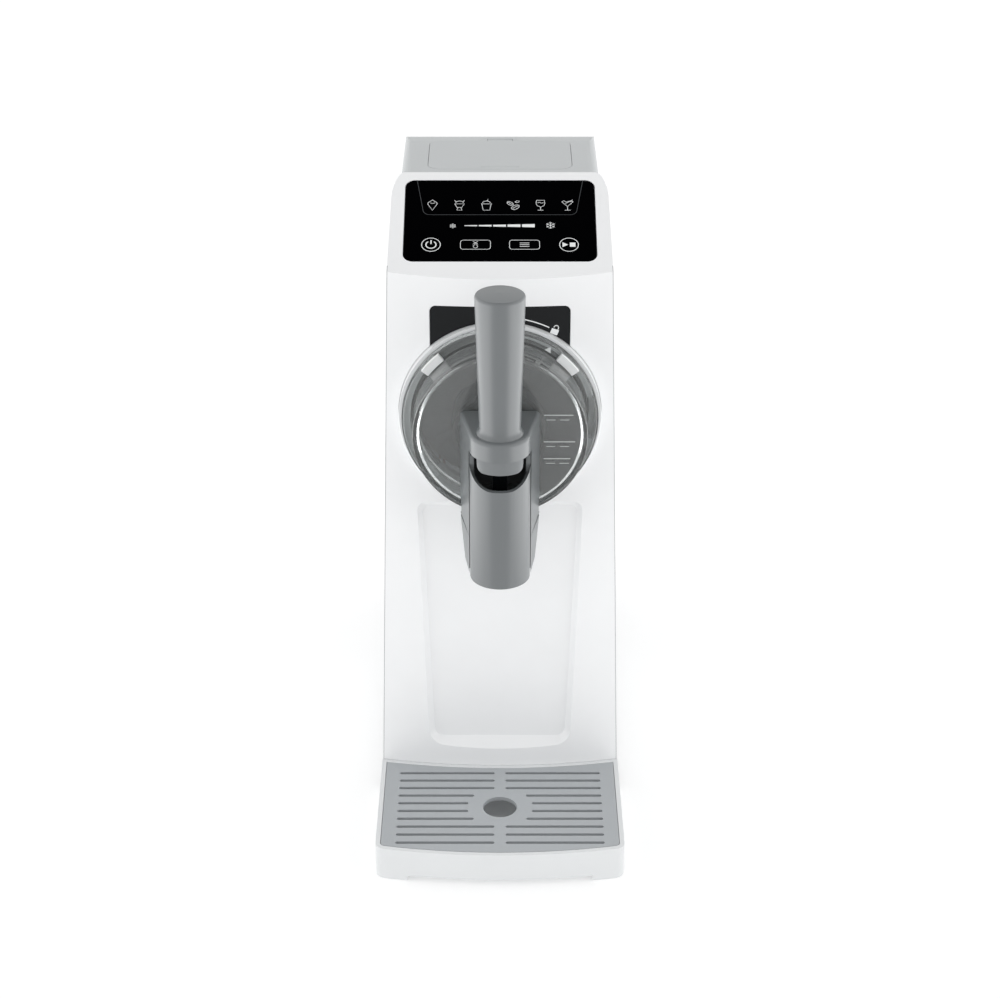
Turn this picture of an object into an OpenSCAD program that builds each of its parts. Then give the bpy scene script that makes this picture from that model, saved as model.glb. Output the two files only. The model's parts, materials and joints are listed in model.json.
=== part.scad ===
// Countertop frozen dessert machine: a narrow tapered tower with a clear twist-off vessel,
// a lever tap over a drip tray, and a compressor cooling plant inside.
// +Y is the back of the machine, +Z is up, and the origin is on the table under its middle.

/* [Body] */
// Depth from the drip tray's front to the rear cover
overall_depth = 400; // [392:1:420]
// Height at the rear edge of the control face
body_height = 435; // [430:1:450]
// Width across the front panel at the table
base_width = 170; // [168:1:180]
// Width across the front panel at the top
top_width = 144; // [142:1:150]
// Reach of the drip tray in front of the front panel
tray_reach = 104; // [100:1:110]
// Radius of the bowed front in plan
front_radius = 430; // [400:5:500]
// Backward lean of the front panel, degrees
front_lean = 2; // [1.5:0.5:3]
// Depth of the control face, front panel to top cover
control_depth = 106; // [104:1:112]
// Slope of the control face above level, degrees
control_slope = 23.5; // [22:0.5:25]
// How much narrower the rear body is on each side
side_step = 5; // [4.5:0.5:6]
// Wall of the front panel
panel_wall = 3; // [2.5:0.1:3.5]
// Wall of the rear body's covers
cover_wall = 2.5; // [2:0.1:3]
// Level run of the top cover behind the control face
level_top = 60; // [58:1:80]

/* [Controls] */
// Width of the touch glass
glass_w = 126; // [118:1:128]
// Length of the touch glass up the slope
glass_l = 76; // [70:1:78]
// Corner radius of the touch glass
glass_r = 6.5; // [4:0.5:9]
// Thickness of the touch glass
glass_t = 1.6; // [1.2:0.1:2]

/* [Vessel] */
// Distance from the top down to the vessel's axis
axis_drop = 136.5; // [133:0.5:140]
// Outer radius of the clear vessel
vessel_r = 57.2; // [56:0.2:58]
// Wall of the clear vessel
vessel_wall = 2.5; // [2:0.1:3]
// Reach of the vessel's front rim ahead of the collar
vessel_reach = 26; // [24:0.5:28]
// Outer radius of the collar on the front panel
collar_r = 67.2; // [66.5:0.1:68]
// Radius of the cold drum
drum_r = 30; // [27:0.5:31]
// Pitch of the auger's blade
auger_pitch = 56; // [48:1:64]
// Thickness of the auger's blade
auger_t = 5; // [4:0.5:6]
// Turn from locked to unlocked, degrees
twist_turn = 30; // [20:1:30]

/* [Tap] */
// Radius of the spout's rounded front
spout_r = 19.5; // [18.5:0.5:20]
// Width of the spout's back plate
spout_w = 50; // [46:1:52]
// Distance from the vessel's rim to the front of the spout
spout_reach = 51; // [50:0.5:53]
// Distance from the vessel's axis down to the spout's lower end
spout_drop = 84.5; // [78:0.5:94]
// Height of the lever's cap above the vessel's axis
cap_rise = 19.5; // [18.5:0.5:21.5]
// Length of the handle above the cap
handle_l = 95; // [80:1:100]
// Radius of the handle at its foot
handle_foot_r = 13.3; // [12:0.1:14]
// Radius of the handle at its top
handle_top_r = 15.8; // [14:0.1:17]
// Radius of the valve piston
piston_r = 12.7; // [12:0.1:13]

/* [Drip tray] */
// Height of the tray's rim
tray_h = 25; // [23:0.5:28]
// Wall of the tray
tray_wall = 2.6; // [2.2:0.1:3.2]
// Thickness of the grille
grille_t = 3; // [2.5:0.1:3.5]
// Distance between the grille's slots
slot_pitch = 8.97; // [8:0.01:9.2]
// Width of one slot
slot_w = 2.6; // [2:0.1:3.2]
// Rows of slots, front to back
slot_rows = 10; // [10:2:10]

/* [Cooling plant] */
// Radius of the compressor's shell
compressor_r = 50; // [44:1:52]
// Height of the compressor
compressor_h = 118; // [105:1:124]
// Radius of the condenser fan
fan_r = 46; // [40:1:48]
// Blades on the fan
fan_blades_n = 7; // [5:1:9]
// Teeth on the drive gear
gear_teeth = 45; // [40:1:48]
// Teeth on the motor's pinion
pinion_teeth = 15; // [13:1:17]
// Module of the gears
gear_module = 1.5; // [1.4:0.05:1.6]

/* [Hidden] */
$fn = 72;

eps = 0.01;
fit_gap = 0.3;
far = 600;

// Places that follow from the driving sizes
front_y = -overall_depth / 2 + tray_reach;
back_y = overall_depth / 2;
control_y = front_y + control_depth;
shoulder_radius = back_y - control_y - level_top;
axis_z = body_height - axis_drop;
spout_z = axis_z - spout_drop;
cap_z = axis_z + cap_rise;
skirt_z = 10;
panel_depth = 14;
panel_lip = 3;
cover_drop = 2;
cover_top = body_height - cover_drop;
cover_seam = 14;
rear_skin = 14;
half_base = base_width / 2;
half_top = top_width / 2;
edge_bow = front_radius - sqrt(pow(front_radius, 2) - pow(half_base, 2));
collar_y = front_y + axis_z * tan(front_lean) - 4.4;
rim_y = collar_y - vessel_reach;
face_y = rim_y + 2;
spout_y = rim_y - spout_reach + spout_r;
vessel_back = 76;
bulkhead_t = 4;
cap_t = 4.5;
spout_top = cap_z - cap_t - fit_gap;
pivot_z = cap_z - 14;

// ---------- shapes in two dimensions ----------

function unit(v) = v / norm(v);
function left_of(v) = [-v[1], v[0]];
function edge_normal(p, i) = left_of(unit(p[(i + 1) % len(p)] - p[i]));

// Moves each edge i of a polygon inwards by d[i]
function inset_poly(p, d) = [for (i = [0:len(p) - 1])
    let (j = (i + len(p) - 1) % len(p), a = edge_normal(p, j), b = edge_normal(p, i), c = a * b)
    p[i] + ((d[j] - d[i] * c) * a + (d[i] - d[j] * c) * b) / (1 - c * c)];

// Rounds each corner i of a polygon with radius r[i], in steps of at most 6 degrees
function round_poly(p, r) = [for (i = [0:len(p) - 1])
    let (j = (i + len(p) - 1) % len(p), a = edge_normal(p, j), b = edge_normal(p, i),
        turn = acos(a * b), centre = p[i] + (a + b) * r[i] / (1 + a * b), n = ceil(turn / 6))
    each r[i] == 0 ? [p[i]] : [for (k = [0:n])
        centre - r[i] * (a * sin(turn * (1 - k / n)) + b * sin(turn * k / n)) / sin(turn)]];

function rect(w, h) = [[-w / 2, -h / 2], [w / 2, -h / 2], [w / 2, h / 2], [-w / 2, h / 2]];
function round_rect(w, h, r) = round_poly(rect(w, h), [r, r, r, r]);
function arc(r, a0, a1, n) = [for (k = [0:n]) let (a = a0 + (a1 - a0) * k / n) r * [cos(a), sin(a)]];

// A side-view outline, given as [y, z] points, drawn across the machine
module across(width, x = 0) {
    translate([x - width / 2, 0, 0]) rotate([90, 0, 90]) linear_extrude(width) children();
}

// A front-view outline, given as [x, z] points, drawn from y0 to y1
module from_front(y0, y1) {
    translate([0, y1, 0]) rotate([90, 0, 0]) linear_extrude(y1 - y0) children();
}

// A round bar along the vessel's axis, from y0 to y1
module axis_bar(r, y0, y1) {
    translate([0, y0, axis_z]) rotate([-90, 0, 0]) cylinder(r = r, h = y1 - y0);
}

// A round bar between y0 and y1 at any place
module y_bar(r, y0, y1, x = 0, z = 0) {
    translate([x, y0, z]) rotate([-90, 0, 0]) cylinder(r = r, h = y1 - y0);
}

// A round bar across the machine
module x_bar(r, x0, x1, y, z) {
    translate([x0, y, z]) rotate([0, 90, 0]) cylinder(r = r, h = x1 - x0);
}

module z_bar(r, z0, z1, x = 0, y = 0) {
    translate([x, y, z0]) cylinder(r = r, h = z1 - z0);
}

module box(x0, x1, y0, y1, z0, z1) {
    translate([x0, y0, z0]) cube([x1 - x0, y1 - y0, z1 - z0]);
}

// Turned about the vessel's axis: the profile is [radius, y]
module axis_turned() {
    translate([0, 0, axis_z]) rotate([-90, 0, 0]) rotate_extrude() children();
}

// Places children on the control face: origin at its rear edge, local -Y runs down the slope
module on_control_face() {
    translate([0, control_y, body_height]) rotate([control_slope, 0, 0]) children();
}

// ---------- outer form ----------

function front_at(z) = front_y + z * tan(front_lean);
function control_z(y) = body_height - (control_y - y) * tan(control_slope);
function half_at(z, step = 0) = half_base + (half_top - half_base) * z / body_height - step;

// The bowed, leaning front as one large cylinder
module front_bow(grow = 0) {
    translate([0, front_y + front_radius / cos(front_lean), 0]) rotate([-front_lean, 0, 0])
        translate([0, 0, -60]) cylinder(r = front_radius + grow, h = 600, $fn = 360);
}

function width_outline(step, top) = [[-half_at(0, step), 0], [half_at(0, step), 0],
    [half_at(top, step), top], [-half_at(top, step), top]];

module width_prism(step, top, corner, inset) {
    p = inset_poly(width_outline(step, top), [0, inset, inset, inset]);
    from_front(-far / 2, far / 2) polygon(round_poly(p, [0, 0, corner - inset, corner - inset]));
}

module panel_block(inset = 0) {
    p = [[front_y - 60, skirt_z], [control_y, skirt_z], [control_y, body_height],
        [front_y - 60, control_z(front_y - 60)]];
    intersection() {
        across(far) polygon(inset_poly(p, [0, inset, inset, 0]));
        width_prism(0, body_height, 10, inset);
        front_bow(-inset);
    }
}

// Everything deeper than d behind the front panel's skin
module panel_core(d) {
    y0 = front_at(0) + edge_bow + d;
    y1 = front_at(body_height) + edge_bow + d;
    p = [[y0, -1], [far / 2, -1], [far / 2, body_height - d / cos(control_slope)],
        [control_y, body_height - d / cos(control_slope)],
        [y1, control_z(y1) - d / cos(control_slope)]];
    across(far) polygon(p);
}

rear_front_y = front_at(0) + edge_bow + panel_depth - 6;
rear_sink = 9;
rear_outline = [[rear_front_y, skirt_z], [back_y, skirt_z], [back_y, cover_top],
    [control_y + 0.5, cover_top], [control_y + 0.5, body_height - rear_sink],
    [rear_front_y + body_height * tan(front_lean),
        control_z(rear_front_y + body_height * tan(front_lean)) - rear_sink]];

module rear_block(wall = 0, open = 0) {
    p = inset_poly(rear_outline, [-open, wall, wall, -open, -open, -open]);
    intersection() {
        across(far) polygon(round_poly(p, [0, 0, shoulder_radius - wall, 0, 0, 0]));
        width_prism(side_step, cover_top, 8, wall);
    }
}

module rear_shell() {
    difference() {
        rear_block();
        rear_block(cover_wall, 20);
    }
}

// The rear body without the skin that the rear cover takes up
module rear_core(skin) {
    p = inset_poly(rear_outline, [-40, skin, skin, -40, -40, -40]);
    across(far) polygon(round_poly(p, [0, 0, shoulder_radius - skin, 0, 0, 0]));
}

seam_z = cover_top - cover_seam;

// ---------- housing ----------

recess_depth = 7;
recess_bevel = 7;
recess_low = 39;
recess_high = axis_z - collar_r + 6;
recess_foot = 53;
recess_head = 60;

// Front-view outline of the cup recess, grown by g
function recess_outline(g) = round_poly(
    inset_poly([[-recess_foot, recess_low], [recess_foot, recess_low], [recess_head, recess_high],
        [-recess_head, recess_high]], [-g, -g, -g, -g]), [14 + g, 14 + g, 6, 6]);

module recess_slab(y, g) {
    translate([0, y, 0]) rotate([-front_lean, 0, 0]) from_front(-eps, eps) polygon(recess_outline(g));
}

module recess_form(g, extra) {
    hull() {
        recess_slab(front_y - 4, recess_bevel * 4 / recess_depth + g);
        recess_slab(front_y + recess_depth + extra, g - recess_bevel);
    }
}

lock_plate_half = 45.6;
lock_plate_top = axis_z + 77.5;
lock_plate_low = axis_z + 23.5;

module lock_plate_prism(g) {
    w = lock_plate_half + g;
    p = [[-w, lock_plate_low - g], [w, lock_plate_low - g], [w, lock_plate_top + g],
        [-w, lock_plate_top + g]];
    from_front(front_y - 30, front_y + 60) polygon(round_poly(p, [0, 0, 4 + g, 4 + g]));
}

glass_top = 8;

module glass_prism(g, z0, z1) {
    on_control_face() translate([0, -glass_top - glass_l / 2, z0]) linear_extrude(z1 - z0)
        polygon(round_rect(glass_w + 2 * g, glass_l + 2 * g, glass_r + g));
}

module front_panel() color("whitesmoke") difference() {
    union() {
        difference() {
            panel_block();
            panel_core(panel_depth);
            difference() {
                panel_block(panel_wall);
                panel_core(panel_depth - panel_lip);
            }
        }
        intersection() {
            recess_form(panel_wall, panel_wall);
            panel_block();
        }
    }
    rear_block_clear();
    recess_form(0, 0);
    axis_bar(collar_r + fit_gap, collar_y - 60, collar_y + 60);
    difference() {
        lock_plate_prism(fit_gap);
        front_bow(-1.5);
    }
    glass_prism(fit_gap, -glass_t - 0.1, 20);
    glass_prism(-5, -20, 20);
}

module rear_block_clear() {
    p = inset_poly(rear_outline, [0, 0, 0, -fit_gap, -fit_gap, -fit_gap]);
    difference() {
        intersection() {
            across(far) polygon(p);
            width_prism(side_step - fit_gap, cover_top, 8, 0);
        }
        recess_form(panel_wall, panel_wall + eps);
    }
}

module side_panel(side) {
    difference() {
        intersection() {
            rear_shell();
            rear_core(rear_skin + fit_gap / 2);
            box(side > 0 ? 0 : -far, side > 0 ? far : 0, -far, far, 0, seam_z - fit_gap / 2);
        }
        recess_form(panel_wall + fit_gap, panel_wall + fit_gap);
        for (i = [0:5]) across(40, side * half_at(60)) translate([back_y - 110 + i * 12, 60])
            polygon(round_rect(5, 46, 2.4));
    }
}

module left_side_panel() color("whitesmoke") side_panel(-1);
module right_side_panel() color("whitesmoke") side_panel(1);

hatch_w = 98;
hatch_l = 60;
hatch_y = control_y + 12;
hatch_t = 2.4;
hinge_y = hatch_y + hatch_l + 3.6;
hinge_z = cover_top - 3;
hinge_r = 2.6;
pin_r = 1.2;
chute_w = 64;
chute_l = 40;
chute_y = hatch_y + 8;

module hatch_outline(g) {
    translate([0, hatch_y + hatch_l / 2]) polygon(round_rect(hatch_w + 2 * g, hatch_l + 2 * g, 9 + g));
}

module top_cover() color("silver") difference() {
    union() {
        intersection() {
            rear_shell();
            box(-far, far, control_y, far, seam_z + fit_gap / 2, far);
        }
        intersection() {
            translate([0, 0, cover_top - 6]) linear_extrude(5.5) hatch_outline(3);
            rear_block(1);
        }
        box(-12, 12, hinge_y - 5, hinge_y + 6, cover_top - 8, cover_top - 1);
    }
    for (y = [0, 2 * fit_gap]) translate([0, y, cover_top - hatch_t - 0.2]) linear_extrude(10)
        hatch_outline(fit_gap);
    translate([0, 0, cover_top - 20]) linear_extrude(30)
        translate([0, chute_y + chute_l / 2]) square([chute_w + 8, chute_l + 4], center = true);
    x_bar(hinge_r + 0.5, -9, 9, hinge_y, hinge_z);
    box(-9, 9, hinge_y - 8, hinge_y + hinge_r + 0.5, hinge_z, far);
    x_bar(pin_r + 0.05, -13, 13, hinge_y, hinge_z);
}

module hatch_pin() color("gray") x_bar(pin_r, -11.8, 11.8, hinge_y, hinge_z);

module fill_hatch() color("silver") difference() {
    union() {
        difference() {
            translate([0, 0, cover_top - hatch_t]) linear_extrude(hatch_t) hatch_outline(0);
            translate([0, hatch_y + hatch_l, cover_top - hatch_t]) rotate([45, 0, 0])
                cube([hatch_w + 2, hatch_t, hatch_t], center = true);
        }
        x_bar(hinge_r, -8.6, 8.6, hinge_y, hinge_z);
        box(-8.6, 8.6, hatch_y + hatch_l - 4, hinge_y, cover_top - hatch_t, cover_top - 0.6);
    }
    x_bar(pin_r + 0.05, -13, 13, hinge_y, hinge_z);
    translate([0, hatch_y + 4, cover_top + 8.6]) x_bar(9, -13, 13, 0, 0);
}

module hatch_gasket() color("dimgray")
    translate([0, chute_y + chute_l / 2, cover_top - hatch_t - 2.2]) linear_extrude(2.2)
        difference() {
            square([chute_w, chute_l - 3], center = true);
            square([chute_w - 6, chute_l - 9], center = true);
        }

module fill_chute() color("gainsboro") difference() {
    union() {
        box(-chute_w / 2 + 1, chute_w / 2 - 1, chute_y + 2.5, chute_y + chute_l - 2.5,
            axis_z + 40, cover_top - hatch_t - 2.6);
        box(-chute_w / 2 - 8, chute_w / 2 + 8, chute_y - 4, chute_y + chute_l + 4,
            cover_top - 9, cover_top - 6.2);
    }
    box(-chute_w / 2 + 3, chute_w / 2 - 3, chute_y + 4.5, chute_y + chute_l - 4.5, 0, far);
    axis_bar(vessel_r + 0.6, -far / 2, far / 2);
    translate([0, 0, cover_top - 6.3]) linear_extrude(9)
        translate([0, chute_y + chute_l / 2]) square([chute_w + 8, chute_l + 4], center = true);
}

screw_places = [for (x = [-1, 1], z = [24, axis_z - 2.5]) [x * (half_at(z) - 18), z]];
bushing_r = 7;
bushing_x = -40;
bushing_z = 34;
cord_r = 3.6;

module louvre_row(z, n, w) {
    for (i = [0:n - 1]) from_front(back_y - 20, back_y + 5)
        translate([0, z + i * 8]) polygon(round_rect(w, 3.6, 1.7));
}

module rear_cover() color("whitesmoke") difference() {
    union() {
        intersection() {
            difference() {
                rear_shell();
                rear_core(rear_skin);
            }
            box(-far, far, -far, far, 0, seam_z - fit_gap / 2);
        }
        y_bar(bushing_r + 4.2, back_y - 6, back_y - 2, x = bushing_x, z = bushing_z);
    }
    louvre_row(condenser_low + 45, 12, condenser_w - 12);
    louvre_row(axis_z - 72.5, 4, condenser_w - 38);
    y_bar(bushing_r + 0.2, back_y - 30, back_y + 5, x = bushing_x, z = bushing_z);
    for (p = screw_places) {
        y_bar(1.9, back_y - 30, back_y + 5, x = p[0], z = p[1]);
        y_bar(3.6, back_y - 1.5, back_y + 5, x = p[0], z = p[1]);
    }
}

module cover_screws() color("dimgray") for (p = screw_places)
    translate([p[0], back_y - 1.2, p[1]]) rotate([90, 0, 0]) difference() {
        union() {
            cylinder(r = 1.6, h = 14);
            translate([0, 0, -0.9]) cylinder(r = 3.3, h = 1.1);
        }
        translate([0, 0, -1.5]) cylinder(r = 1.2, h = 1.4, $fn = 6);
    }

base_t = 3;
pan_h = 12;
pan_lip = 8;
foot_h = 10;
foot_r = 9;
foot_inset = 22;
base_front = front_at(0) + edge_bow + 8;

module base_pan() color("lightgray") difference() {
    union() {
        intersection() {
            rear_block(cover_wall + fit_gap, 0);
            box(-far, far, base_front, far, skirt_z, skirt_z + pan_h);
        }
    }
    translate([0, 0, skirt_z + base_t]) intersection() {
        width_prism(side_step + pan_lip, body_height, 8, 0);
        box(-far, far, base_front + 3, back_y - pan_lip, 0, 40);
    }
    for (i = [0:8]) box(-44, 44, -10 + i * 9, -6 + i * 9, 0, skirt_z + 5);
    for (x = [-1, 1], y = [base_front + foot_inset, back_y - foot_inset])
        z_bar(2.6, 0, 40, x = x * (half_base - side_step - foot_inset), y = y);
}

module rubber_feet() color("dimgray")
    for (x = [-1, 1], y = [base_front + foot_inset, back_y - foot_inset])
        translate([x * (half_base - side_step - foot_inset), y, 0]) {
            rotate_extrude() polygon([[0, 0], [foot_r - 1.5, 0], [foot_r - 0.6, 0.8], [foot_r, foot_h - eps],
                [0, foot_h - eps]]);
            cylinder(r = 2.5, h = foot_h + 6);
        }

module cord_bushing() color("black") translate([bushing_x, back_y - 9, bushing_z]) rotate([-90, 0, 0])
    difference() {
        union() {
            cylinder(r = bushing_r, h = 9);
            cylinder(r = bushing_r + 3, h = 2.8);
        }
        translate([0, 0, -1]) cylinder(r = cord_r, h = 12);
    }

module control_glass() color("black") glass_prism(0, -glass_t, 0);

module display_board() color("darkgreen") glass_prism(-6, -glass_t - 2 - 1.6, -glass_t - 0.2);

module lock_plate() color("black") difference() {
    intersection() {
        lock_plate_prism(0);
        difference() {
            front_bow(-0.2);
            front_bow(-1.4);
        }
    }
    axis_bar(collar_r + fit_gap, collar_y - 60, collar_y + 60);
}

// ---------- cold drum and its carriers ----------

flange_y = front_at(axis_z + collar_r) + front_radius - sqrt(pow(front_radius, 2) - pow(collar_r, 2))
    + panel_wall + fit_gap;
lug_y = collar_y + 13;
lug_t = 4;
lug_r = 62.6;
lug_arc = 26;
neck_r = vessel_r + 2.2;

module vessel_collar() color("whitesmoke") difference() {
    axis_turned() polygon([[collar_r - 2, collar_y], [collar_r, collar_y + 2], [collar_r, flange_y],
        [collar_r + 5, flange_y], [collar_r + 5, flange_y + 3], [collar_r - 3, flange_y + 8],
        [neck_r, flange_y + 8], [neck_r, collar_y + 6], [collar_r - 2.4, collar_y + 6]]);
    axis_turned() translate([neck_r - 1, lug_y - fit_gap])
        square([lug_r + fit_gap - neck_r + 1, lug_t + 2 * fit_gap]);
    for (a = [0:120:240]) translate([0, 0, axis_z]) rotate([0, -a - twist_turn, 0])
        lug_sector(lug_r + 2 * fit_gap, collar_y - 1, lug_y + 1, lug_arc + 3);
}

// A sector about the vessel's axis, centred above it
module lug_sector(r, y0, y1, angle) {
    translate([0, y1, 0]) rotate([90, 0, 0]) linear_extrude(y1 - y0)
        polygon(concat([[0, 0]], arc(r, 90 - angle / 2, 90 + angle / 2, 8)));
}

bulkhead_y = vessel_back + fit_gap;
bulkhead_back = bulkhead_y + bulkhead_t;
bulkhead_low = skirt_z + base_t;
bulkhead_high = axis_z + vessel_r + 8;
shaft_r = 5;
line_r = 3;
line_x = 16;
liquid_z = axis_z - 14;
suction_z = axis_z + 16;
window_half = half_base - side_step - pan_lip - 6;

module vessel_bulkhead() color("gainsboro") difference() {
    intersection() {
        width_prism(side_step, cover_top, 8, cover_wall + fit_gap);
        box(-far, far, bulkhead_y, bulkhead_back, bulkhead_low, bulkhead_high);
    }
    difference() {
        box(-far, far, bulkhead_y - 1, bulkhead_back + 1, 0, skirt_z + pan_h + fit_gap);
        width_prism(side_step + pan_lip + fit_gap, body_height, 8, 0);
    }
    axis_bar(shaft_r + 2, bulkhead_y - 1, bulkhead_back + 1);
    box(-window_half, window_half, bulkhead_y - 1, bulkhead_back + 1, bulkhead_low + 8, axis_z - vessel_r - 42);
    for (z = [liquid_z, suction_z]) y_bar(line_r + 0.1, bulkhead_y - 1, bulkhead_back + 1, x = line_x, z = z);
}

drum_front = face_y + vessel_wall + 26;

module cold_drum() color("silver") difference() {
    axis_turned() polygon([[shaft_r + 1, drum_front], [drum_r - 4, drum_front], [drum_r, drum_front + 4],
        [drum_r, bulkhead_y - 3], [drum_r + 6, bulkhead_y - 3], [drum_r + 6, bulkhead_y],
        [shaft_r + 1, bulkhead_y]]);
    axis_turned() polygon([[shaft_r + 3, drum_front + 2], [drum_r - 4.5, drum_front + 2],
        [drum_r - 2, drum_front + 5], [drum_r - 2, bulkhead_y - 3], [shaft_r + 3, bulkhead_y - 3]]);
    for (z = [liquid_z, suction_z]) y_bar(line_r + 0.1, bulkhead_y - 4, bulkhead_y + 1, x = line_x, z = z);
}

// ---------- compressor and condenser ----------

compressor_gap = 18;
compressor_y = front_y + recess_depth + panel_wall + compressor_gap + compressor_r;
compressor_z = skirt_z + base_t + 9;
mount_r = 7;
mount_x = 46;
mount_y = 38;

module compressor() color("dimgray") translate([0, compressor_y, compressor_z]) difference() {
    union() {
        rotate_extrude() polygon(concat([[0, 6], [compressor_r - 6, 6], [compressor_r, 14]],
            [for (p = arc(1, 0, 90, 9)) [p[0] * (compressor_r - 2), compressor_h - 42 + p[1] * 34]]));
        translate([0, 0, compressor_h - 42]) cylinder(r = compressor_r + 1.5, h = 5, center = true);
        for (s = [-1, 1]) translate([-mount_x - 8, s * mount_y - 9, 4]) cube([2 * mount_x + 16, 18, 3]);
        translate([compressor_r - 12, -14, 34]) cube([18, 28, 30]);
        for (a = [150, 205]) rotate(a) translate([compressor_r - 6, 0, 62]) rotate([0, 90, 0])
            cylinder(r = 4.4, h = 14);
    }
    for (x = [-1, 1], y = [-1, 1]) translate([x * mount_x, y * mount_y, -1]) cylinder(r = 4, h = 12);
}

module compressor_mounts() color("black")
    for (x = [-1, 1], y = [-1, 1])
        translate([x * mount_x, compressor_y + y * mount_y, skirt_z + base_t]) {
            cylinder(r = mount_r, h = 13 - eps);
            cylinder(r = 3.95, h = 16.4);
            translate([0, 0, 16.4]) cylinder(r = mount_r - 1, h = 2);
        }

condenser_y = back_y - 52;
condenser_t = 34;
line_side = 23.5;
condenser_w = 2 * (half_at(0, side_step) - cover_wall - line_side);
condenser_h = 122;
condenser_low = bulkhead_low;
condenser_high = condenser_low + condenser_h;
fan_z = condenser_low + 64;
fin_pitch = 4;
tube_low = 14;
tube_high = tube_low + 100;

module condenser() color("silver") translate([0, condenser_y, condenser_low]) union() {
    for (x = [-1, 1]) translate([x * condenser_w / 2 - (x > 0 ? 2 : 0), 0, 0]) cube([2, condenser_t, condenser_h]);
    for (z = [8:fin_pitch:condenser_h - 6]) translate([-condenser_w / 2 + 1, 2, z])
        cube([condenser_w - 2, condenser_t - 4, 0.8]);
    for (z = [tube_low:20:condenser_h - 8], y = [9, 25])
        x_bar(line_r + 0.2, -condenser_w / 2 - 3, condenser_w / 2 + 3, y, z);
}

shroud_t = 18;
tube_gap = 2;
fan_pin_r = 2.6;

module fan_shroud() color("dimgray") translate([0, condenser_y - shroud_t, 0]) difference() {
    union() {
        box(-condenser_w / 2, condenser_w / 2, shroud_t - 3, shroud_t, condenser_low, condenser_high);
        y_bar(fan_r + tube_gap + 2, 0, shroud_t, z = fan_z);
        for (a = [45:90:315]) translate([0, 0, fan_z]) rotate([0, a, 0])
            box(14, fan_r + tube_gap + 1, 0, 2.4, -3, 3);
        y_bar(19, 0, 2.4, z = fan_z);
    }
    difference() {
        y_bar(fan_r + tube_gap, -1, shroud_t + 1, z = fan_z);
        for (a = [45:90:315]) translate([0, 0, fan_z]) rotate([0, a, 0])
            box(14, fan_r + tube_gap + 4, -2, 2.4, -3, 3);
        y_bar(19, -2, 2.4, z = fan_z);
    }
    y_bar(fan_pin_r + 0.05, -1, 4, z = fan_z);
}

fan_y = condenser_y - 8;

module fan_motor() color("black") translate([0, condenser_y - shroud_t, 0]) union() {
    y_bar(18, -30, -eps, z = fan_z);
    y_bar(12, -36, -30, z = fan_z);
}

module fan_blades() color("darkgray") difference() {
    union() {
        y_bar(13, fan_y - 7, fan_y + 5, z = fan_z);
        y_bar(fan_pin_r, fan_y - 9.8, fan_y - 6, z = fan_z);
        intersection() {
            difference() {
                y_bar(fan_r, fan_y - 6, fan_y + 5, z = fan_z);
                y_bar(12.5, fan_y - 7, fan_y + 6, z = fan_z);
            }
            for (i = [0:fan_blades_n - 1]) translate([0, fan_y, fan_z])
                rotate([0, i * 360 / fan_blades_n, 0]) rotate([0, 0, 28])
                    linear_extrude(fan_r + 6) square([26, 1.6], center = true);
        }
    }
}

// ---------- drive ----------

gear_stand = 10;
plate_y = bulkhead_back + gear_stand;
gear_y0 = plate_y + 5;
gear_t = 9;
gear_r = gear_module * gear_teeth / 2;
pinion_r = gear_module * pinion_teeth / 2;
pinion_z = axis_z - gear_r - pinion_r;
cover_back = gear_y0 + gear_t + 6;
case_r = gear_r + gear_module + 3;
case_low_r = pinion_r + gear_module + 4;
backlash = 0.3;
pressure_angle = 20;

function involute(a) = tan(a) * 180 / PI - a;

// Half the angle that a tooth fills at radius r
function tooth_half(r, rp, teeth) =
    let (rb = rp * cos(pressure_angle), s = PI * gear_module / 2 - backlash)
    s / 2 / rp * 180 / PI + involute(pressure_angle) - involute(r > rb ? acos(rb / r) : 0);

function gear_outline(teeth) =
    let (rp = gear_module * teeth / 2, root = rp - 1.3 * gear_module, tip = rp + 0.92 * gear_module,
        radii = [root, max(root + 0.01, rp * cos(pressure_angle)), rp, tip])
    [for (i = [0:teeth - 1], k = [0:7])
        let (r = radii[k < 4 ? k : 7 - k], a = (k < 4 ? -1 : 1) * tooth_half(r, rp, teeth) + i * 360 / teeth)
        r * [cos(a), sin(a)]];

module drive_gear() color("ivory") translate([0, gear_y0, axis_z]) rotate([-90, 0, 0]) difference() {
    union() {
        linear_extrude(gear_t) rotate(90 + 180 / gear_teeth) polygon(gear_outline(gear_teeth));
        translate([0, 0, gear_t]) cylinder(r = 9, h = 4);
    }
    for (z = [-1, gear_t - 2.5]) translate([0, 0, z]) difference() {
        cylinder(r = gear_r - 5, h = 3.5);
        cylinder(r = 10, h = 3.5);
    }
    translate([0, 0, -1]) cylinder(r = shaft_r + 0.05, h = gear_t + 8);
}

module motor_pinion() color("silver") translate([0, gear_y0, pinion_z]) rotate([-90, 0, 0]) union() {
    linear_extrude(gear_t) rotate(-90) polygon(gear_outline(pinion_teeth));
    translate([0, 0, gear_t]) cylinder(r = 3, h = 12);
}

// The gear case's outline about the two gear axes, in the front view
module case_outline(g) {
    translate([0, axis_z]) circle(r = case_r + g);
    translate([0, pinion_z]) circle(r = case_low_r + g);
    translate([-case_low_r - g, pinion_z]) square([2 * (case_low_r + g), axis_z - pinion_z]);
}

case_posts = [for (a = [50, 130, 220, 320]) [(case_r + 2) * cos(a), axis_z + (case_r + 2) * sin(a)]];

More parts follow.
